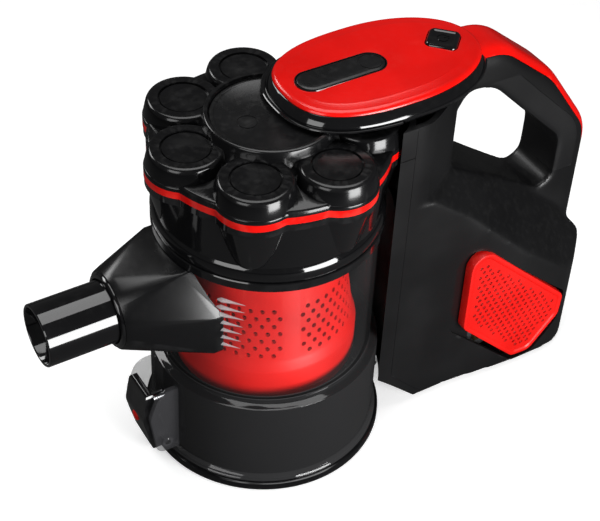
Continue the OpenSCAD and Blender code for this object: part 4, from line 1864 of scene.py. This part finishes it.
    def column(self) -> Piece:
        """Takes the column that cradles the bin out of the form.

        Returns:
            The column.
        """
        piece = copy_of(self.form, "column_front")
        combine(piece, self.dock(0.0), "INTERSECT")
        cuts = fused("cuts", [
            self.bin_room(), self.deck_room(),
            block("pivot_bay", (55, 85), (-14.2, 14.2), (20, 42)),
        ])
        for side in (-1, 1):
            seam = block("seam", (48, 60), across(side, 39.9, 43), (181.8, 182.2))
            combine(cuts, seam, "UNION")
        combine(piece, cuts, "DIFFERENCE")
        return self.shop.deliver(piece, Body.MOTOR, BLACK_SATIN, "front_column", angle=30.0)

    def spine(self) -> Piece:
        """Takes the red spine along the handle's back out of the form.

        Returns:
            The spine.
        """
        piece = copy_of(self.form, "handle_spine")
        room = self.spine_room(-0.1)
        limit = prism("limit", [
            (105, 100), (260, 100), (260, 260), (119, 260), (117, 211.3), (105, 211.3),
        ], -40, 40, Along.Y)
        combine(room, limit, "INTERSECT")
        key = prism("key", [(86.6, 0), (99.6, -13), (112.6, 0), (99.6, 13)], 200, 230)
        combine(room, key, "DIFFERENCE")
        combine(piece, room, "INTERSECT")
        return self.shop.deliver(piece, Body.MOTOR, RED_GLOSS)

    def grip(self) -> Piece:
        """Takes the grip insert round the handle's opening out of the form.

        Returns:
            The insert.
        """
        piece = copy_of(self.form, "grip_lining")
        combine(piece, self.grip_room(0.0), "INTERSECT")
        opening = Outline(self.opening_side)
        core = prism("core", opening.inset(-20).points(10), -13, 13, Along.Y)
        skin = prism("skin", opening.inset(-3).points(10), -61, 61, Along.Y)
        combine(core, skin, "DIFFERENCE")
        combine(piece, core, "DIFFERENCE")
        return self.shop.deliver(piece, Body.MOTOR, GRIP_SATIN, "grip_insert", angle=30.0)

    def _hole_places(self, area: Sequence[Point]) -> list[Matrix]:
        """Lists where the grille's holes go, in staggered rows.

        Args:
            area: the outline, in X and Z, that holes stay inside.

        Returns:
            The move from the origin to each hole.
        """
        places = []
        for row in range(self.hole_rows):
            for column in range(self.hole_columns):
                x = 98 + self.hole_pitch * (column + 0.5 * (row % 2))
                z = 4 + self.hole_pitch * 0.866 * row
                if inside_outline((x, z), area):
                    places.append(shifted(x, 0, z))
        return places

    def grilles(self) -> None:
        """Builds the two red exhaust grilles with raised borders and rows of round holes."""
        outline = Outline(self.grille_side)
        plate = stepped("grille_left", outline.at_depth(8), [
            (0.0, -39.4), (0.0, -44.3), (0.25, -44.8), (0.9, -45.0), (2.1, -45.0), (2.8, -44.7),
            (3.3, -44.2),
        ], Along.Y)
        back = prism("back", outline.inset(1.8).points(8), -42.6, -30, Along.Y)
        combine(plate, back, "DIFFERENCE")
        drill = rod("drill", Along.Y, (0, 0), -50, -40, self.hole_r, 10)
        drilled(plate, drill, self._hole_places(outline.inset(6.2).points(8)))
        other = mirrored_copy(plate, "grille_right")
        self.shop.deliver(plate, Body.MOTOR, RED_SATIN, "left_grille")
        self.shop.deliver(other, Body.MOTOR, RED_SATIN, "right_grille")

    def build(self) -> None:
        """Builds the whole body."""
        self.form = self._whole("form", 0.0, 1.5, 6)
        self.shells()
        self.column()
        self.spine()
        self.grip()
        self.grilles()
        bpy.data.objects.remove(self.form)


def inside_outline(spot: Point, outline: Sequence[Point]) -> bool:
    """Tells whether a point lies inside a closed outline.

    Args:
        spot: the point.
        outline: the outline's points.

    Returns:
        True if it does.
    """
    inside = False
    for (ax, ay), (bx, by) in zip(outline, [*outline[1:], outline[0]]):
        crosses = (ay > spot[1]) != (by > spot[1])
        if crosses and spot[0] < ax + (spot[1] - ay) * (bx - ax) / (by - ay):
            inside = not inside
    return inside


# ---- The top deck ----------------------------------------------------------------------
@dataclass
class TopDeck:
    """The gloss rim, the red cover and the two keys on top."""

    shop: Workshop
    low: float = 200.1
    crown: float = 214.8
    nose_floor: float = 205.3
    cradle_r: float = 64.5
    centre_x: float = 62.0
    half_w: float = 34.8
    tail: Point = (56.0, 0.952)
    nose: Point = (55.5, 0.769)
    power_x: float = 99.6
    power_half: float = 11.6
    power_round: float = 3.2
    pill_x: Point = (22.4, 55.9)
    pill_r: float = 8.0

    def _edge(self, depth: float, steps: int = 144) -> list[Point]:
        """Traces the red cover's edge: a superellipse, blunter at its nose than at its tail.

        Args:
            depth: how far the line is moved in, in millimetres.
            steps: how many points go round.

        Returns:
            The line's points.
        """
        line = []
        for step in range(steps):
            angle = math.tau * (step + 0.5) / steps
            side, along = math.sin(angle), math.cos(angle)
            reach, power = self.tail if along > 0 else self.nose
            line.append(Vector((
                self.centre_x + reach * math.copysign(abs(along) ** power, along),
                self.half_w * math.copysign(abs(side) ** power, side),
            )))
        moved = []
        for number, spot in enumerate(line):
            run = (line[(number + 1) % steps] - line[number - 1]).normalized()
            moved.append((spot.x - run.y * depth, spot.y + run.x * depth))
        return moved

    def _pill(self, grow: float) -> Outline:
        """Makes the release key's long round outline.

        Args:
            grow: how far it is grown, in millimetres.

        Returns:
            The outline.
        """
        first, last = self.pill_x
        r = self.pill_r + grow
        return rounded_box(last - first + 2 * r, 2 * r, r - 0.01, ((first + last) / 2, 0.0))

    def _key(self, grow: float) -> Outline:
        """Makes the power key's rounded diamond.

        Args:
            grow: how far it is grown, in millimetres.

        Returns:
            The outline.
        """
        half = self.power_half + grow
        points = ((-1, 0), (0, -1), (1, 0), (0, 1))
        rounding = self.power_round + grow
        return Outline([(self.power_x + half * a, half * b, rounding) for a, b in points])

    def rim(self) -> Piece:
        """Builds the gloss rim with its nose plate over the cap.

        Returns:
            The rim.
        """
        piece = stepped("deck_rim", self._edge, [
            (1.2, self.low), (0.2, 200.8), (-1.6, 202.6), (-2.9, 204.4), (-3.3, 205.2),
            (-3.45, 206.0), (-3.4, 206.8), (-3.1, 207.6), (-0.5, 211.2), (-0.2, 211.4),
            (0.1, 211.4),
        ])
        well = fused("well", [
            prism("inside", self._edge(0.4), 207.3, 230),
            prism("pocket", self._edge(3.0), 203.4, 230),
            prism("way", self._edge(12.0), 190, 230),
        ])
        combine(well, drum("keep", self.cradle_r + 3, 190, 207.3, 128), "DIFFERENCE")
        combine(piece, well, "DIFFERENCE")
        cuts = fused("cuts", [
            drum("cap_room", self.cradle_r, 190, self.nose_floor),
            rod("port", Along.Z, OUTLET, 200, 212, OUTLET_R),
            rod("peg", Along.Z, (60, 0), 200, 212, 2.0, 24),
            block("tail", (104.5, 140), (-16.2, 16.2), (199, 240)),
        ])
        combine(piece, cuts, "DIFFERENCE")
        return self.shop.deliver(piece, Body.MOTOR, BLACK_GLOSS, "top_rim", angle=24.0)

    def collar(self) -> Piece:
        """Builds the thin raised line where the nose sits over the cap's centre.

        Returns:
            The line.
        """
        piece = stepped("nose_collar", self._edge, [
            (-4.6, 205.35), (-5.2, 205.5), (-5.3, 205.9), (-4.9, 206.2), (-3.2, 206.2),
        ])
        combine(piece, prism("core", self._edge(-1.6), 190, 230), "DIFFERENCE")
        combine(piece, block("limit", (-20, 50), (-60, 60), (190, 230)), "INTERSECT")
        return self.shop.deliver(piece, Body.MOTOR, BLACK_GLOSS)

    def cover(self) -> Piece:
        """Builds the crowned red cover with its inner contour and key openings.

        Returns:
            The cover.
        """
        piece = stepped("cover_red", self._edge, [
            (1.6, 211.5), (0.15, 211.5), (0.0, 211.7), (0.25, 212.4), (0.8, 213.1), (1.7, 213.6),
            (2.8, 213.8), (6.4, 213.95), (6.9, 214.12), (7.6, 214.2), (14.0, 214.5),
            (19.0, self.crown),
        ])
        key = prism("key", self._key(0.5).points(10), 200, 230)
        pill = prism("pill", self._pill(0.35).points(16), 200, 230)
        combine(piece, prism("hollow", self._edge(3.0), 205, 212.2), "DIFFERENCE")
        combine(piece, joined("holes", [key, pill]), "DIFFERENCE")
        return self.shop.deliver(piece, Body.MOTOR, RED_GLOSS, "top_cover", angle=40.0)

    def release_key(self) -> Piece:
        """Builds the long release key with a ring on its rear end.

        Returns:
            The key.
        """
        piece = stepped("release_pill", self._pill(-0.3).at_depth(16), [
            (1.4, 212.2), (0.0, 212.3), (0.0, 214.3), (0.25, 214.9), (0.9, 215.25),
            (1.8, 215.35), (3.4, 215.4),
        ])
        profile = [(5.7, 215.1), (6.25, 215.1), (6.25, 216), (5.7, 216)]
        combine(piece, lathe("ring", profile, 72, (self.pill_x[1], 0.0)), "DIFFERENCE")
        return self.shop.deliver(piece, Body.RELEASE_KEY, KEY_SATIN, "release_button")

    def key_trim(self) -> Piece:
        """Builds the thin lip round the release key's opening.

        Returns:
            The lip.
        """
        piece = stepped("pill_trim", self._pill(0.2).at_depth(16), [
            (0.3, 212.6), (-0.45, 214.5), (-0.3, 214.95), (0.12, 214.95),
        ])
        combine(piece, prism("hole", self._pill(-0.08).points(16), 200, 230), "DIFFERENCE")
        return self.shop.deliver(piece, Body.MOTOR, BLACK_GLOSS)

    def power_key(self) -> Piece:
        """Builds the power key with its raised border and the usual power sign.

        Returns:
            The key.
        """
        piece = stepped("power_diamond", self._key(0.0).at_depth(10), [
            (0.6, 211.6), (0.0, 211.8), (0.0, 214.6), (0.3, 215.4), (0.9, 215.9), (1.7, 216.0),
            (2.4, 215.7), (2.9, 215.5),
        ])
        x = self.power_x
        profile = [(2.6, 215.2), (3.2, 215.2), (3.2, 216.5), (2.6, 216.5)]
        sign = lathe("sign", profile, 48, (x, 0.0))
        combine(sign, block("notch", (x + 1, x + 5), (-1.1, 1.1), (214, 218)), "DIFFERENCE")
        bar = block("bar", (x + 0.5, x + 3.9), (-0.3, 0.3), (215.2, 216.5))
        combine(piece, joined("marks", [sign, bar]), "DIFFERENCE")
        return self.shop.deliver(piece, Body.POWER_KEY, BLACK_GLOSS, "power_button")

    def build(self) -> None:
        """Builds the whole deck."""
        self.rim()
        self.collar()
        self.cover()
        self.release_key()
        self.key_trim()
        self.power_key()


# ---- What is inside --------------------------------------------------------------------
class Internals:
    """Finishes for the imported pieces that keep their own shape."""

    GROUPS: tuple[tuple[object, str], ...] = (
        (RUBBER, "door_seal inlet_seal bin_top_seal outlet_seal rubber_feet lower_motor_mount "
                 "upper_motor_mount cord_gland"),
        (STEEL, "door_hinge_pin latch_pin bin_pivot_pin latch_spring power_spring release_spring "
                "shell_screws armature_shaft lower_bearing upper_bearing"),
        (MOTOR_STEEL, "motor_field armature_core"),
        (ALUMINIUM, "motor_frame fan_cover impeller"),
        (BRASS, "commutator brush_holders"),
        (CARBON, "carbon_brushes"),
        (GREY_PLASTIC, "cyclone_plate cyclone_cones vortex_plate air_duct power_switch "
                       "release_catch"),
        (FOAM, "pre_filter"),
        (FILTER, "left_exhaust_filter right_exhaust_filter"),
    )

    def __init__(self, shop: Workshop) -> None:
        """Keeps the workshop."""
        self.shop = shop

    def dress(self) -> None:
        """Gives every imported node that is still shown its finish."""
        finishes = {name: finish for finish, names in self.GROUPS for name in names.split()}
        for name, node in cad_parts.items():
            finish = finishes.get(name, GREY_PLASTIC)
            material = self.shop.material(finish)
            node.data.materials.clear()
            node.data.materials.append(material)
            LOG.info("%s: %s", name, finish.name)


# ---- Studio ----------------------------------------------------------------------------
@dataclass
class Softbox:
    """One soft light: where it stands, what it faces, its size in metres and its power."""

    name: str
    place: tuple[float, float, float]
    aim: tuple[float, float, float]
    width: float
    height: float
    power: float

    def build(self) -> None:
        """Hangs the light."""
        lamp = bpy.data.lights.new(self.name, "AREA")
        lamp.shape = "RECTANGLE"
        lamp.size, lamp.size_y, lamp.energy = self.width, self.height, self.power
        holder = bpy.data.objects.new(self.name, lamp)
        holder.location = self.place
        facing = Vector(self.place) - Vector(self.aim)
        holder.rotation_euler = facing.to_track_quat("Z", "Y").to_euler()
        bpy.context.scene.collection.objects.link(holder)


@dataclass
class Studio:
    """The pale floor, the soft lights and the camera."""

    lens: float = 90.06
    azimuth: float = -32.81
    elevation: float = 41.93
    distance: float = 0.8006
    roll: float = 2.955
    target: tuple[float, float, float] = (0.0210, 0.0, 0.09874)
    floor_tone: Colour = (0.9, 0.9, 0.9)
    floor_roughness: float = 0.22
    floor_glow: float = 0.48
    floor_dim: Colour = (0.07, 0.07, 0.07)
    room_to_gloss: float = 0.06
    lights: tuple[Softbox, ...] = (
        Softbox("overhead", (0.05, 0.10, 1.05), (0.03, 0.0, 0.1), 0.9, 0.7, 5.6),
        Softbox("front_right", (0.16, -0.62, 0.18), (-0.1, 0.0, 0.12), 0.34, 0.36, 6.0),
        Softbox("front_left", (-0.85, -0.45, 0.55), (0.0, 0.0, 0.12), 0.5, 0.5, 2.6),
        Softbox("back_left", (-0.35, 0.85, 0.75), (0.05, 0.0, 0.15), 0.5, 0.3, 3.0),
    )

    def camera(self) -> None:
        """Places the camera, tipped by its roll."""
        a, e = math.radians(self.azimuth), math.radians(self.elevation)
        back = Vector((math.sin(a) * math.cos(e), -math.cos(a) * math.cos(e), math.sin(e)))
        data = bpy.data.cameras.new("camera")
        data.lens, data.sensor_width = self.lens, 36.0
        data.clip_start, data.clip_end = 0.02, 20.0
        holder = bpy.data.objects.new("camera", data)
        turn = (-back).to_track_quat("-Z", "Y").to_matrix().to_4x4() @ turned(self.roll)
        holder.matrix_world = Matrix.Translation(Vector(self.target) + back * self.distance) @ turn
        bpy.context.scene.collection.objects.link(holder)
        bpy.context.scene.camera = holder

    def floor(self) -> None:
        """Lays the pale floor, which looks dimmer in the gloss than to the eye."""
        piece = fresh(
            "floor", bpy.ops.mesh.primitive_plane_add, size=8.0, location=(0.0, 0.0, -0.0005)
        )
        material, wire, shader = blank_material("pale_floor")
        wire.add_to(shader, {
            "Base Color": opaque(self.floor_tone), "Roughness": self.floor_roughness,
            "Emission Color": WHITE, "Emission Strength": self.floor_glow,
        })
        dim = wire.add("ShaderNodeBsdfDiffuse", {"Color": opaque(self.floor_dim)})
        seen = wire.add("ShaderNodeLightPath").outputs["Is Camera Ray"]
        mix = wire.add("ShaderNodeMixShader", {0: seen, 1: dim.outputs[0], 2: shader.outputs[0]})
        wire.add_to(wire.tree.nodes["Material Output"], {"Surface": mix.outputs[0]})
        piece.data.materials.append(material)

    def world(self) -> None:
        """Makes the room white to the eye and dimmer to reflections."""
        world = bpy.data.worlds.new("room")
        world.use_nodes = True
        wire = Nodes(world.node_tree)
        ground = world.node_tree.nodes["Background"]
        seen = wire.add("ShaderNodeLightPath").outputs["Is Camera Ray"]
        extra = 1.0 - self.room_to_gloss
        strength = wire.math("MULTIPLY_ADD", seen, extra, self.room_to_gloss)
        wire.add_to(ground, {"Color": WHITE, "Strength": strength})
        bpy.context.scene.world = world
        bpy.context.scene.view_settings.view_transform = "Standard"

    def build(self) -> None:
        """Builds the whole studio."""
        self.camera()
        self.floor()
        self.world()
        for light in self.lights:
            light.build()


def main() -> None:
    """Builds the studio, then each sub-assembly in order."""
    logging.basicConfig(level=logging.INFO, format="%(name)s %(message)s")
    Studio().build()
    shop = Workshop()
    Internals(shop).dress()
    makers = (BinAssembly, InletAssembly, CycloneAssembly, CapAssembly, MotorBody, TopDeck)
    for maker in makers:
        LOG.info("building %s", maker.__name__)
        maker(shop).build()


if __name__ == "__main__":
    main()
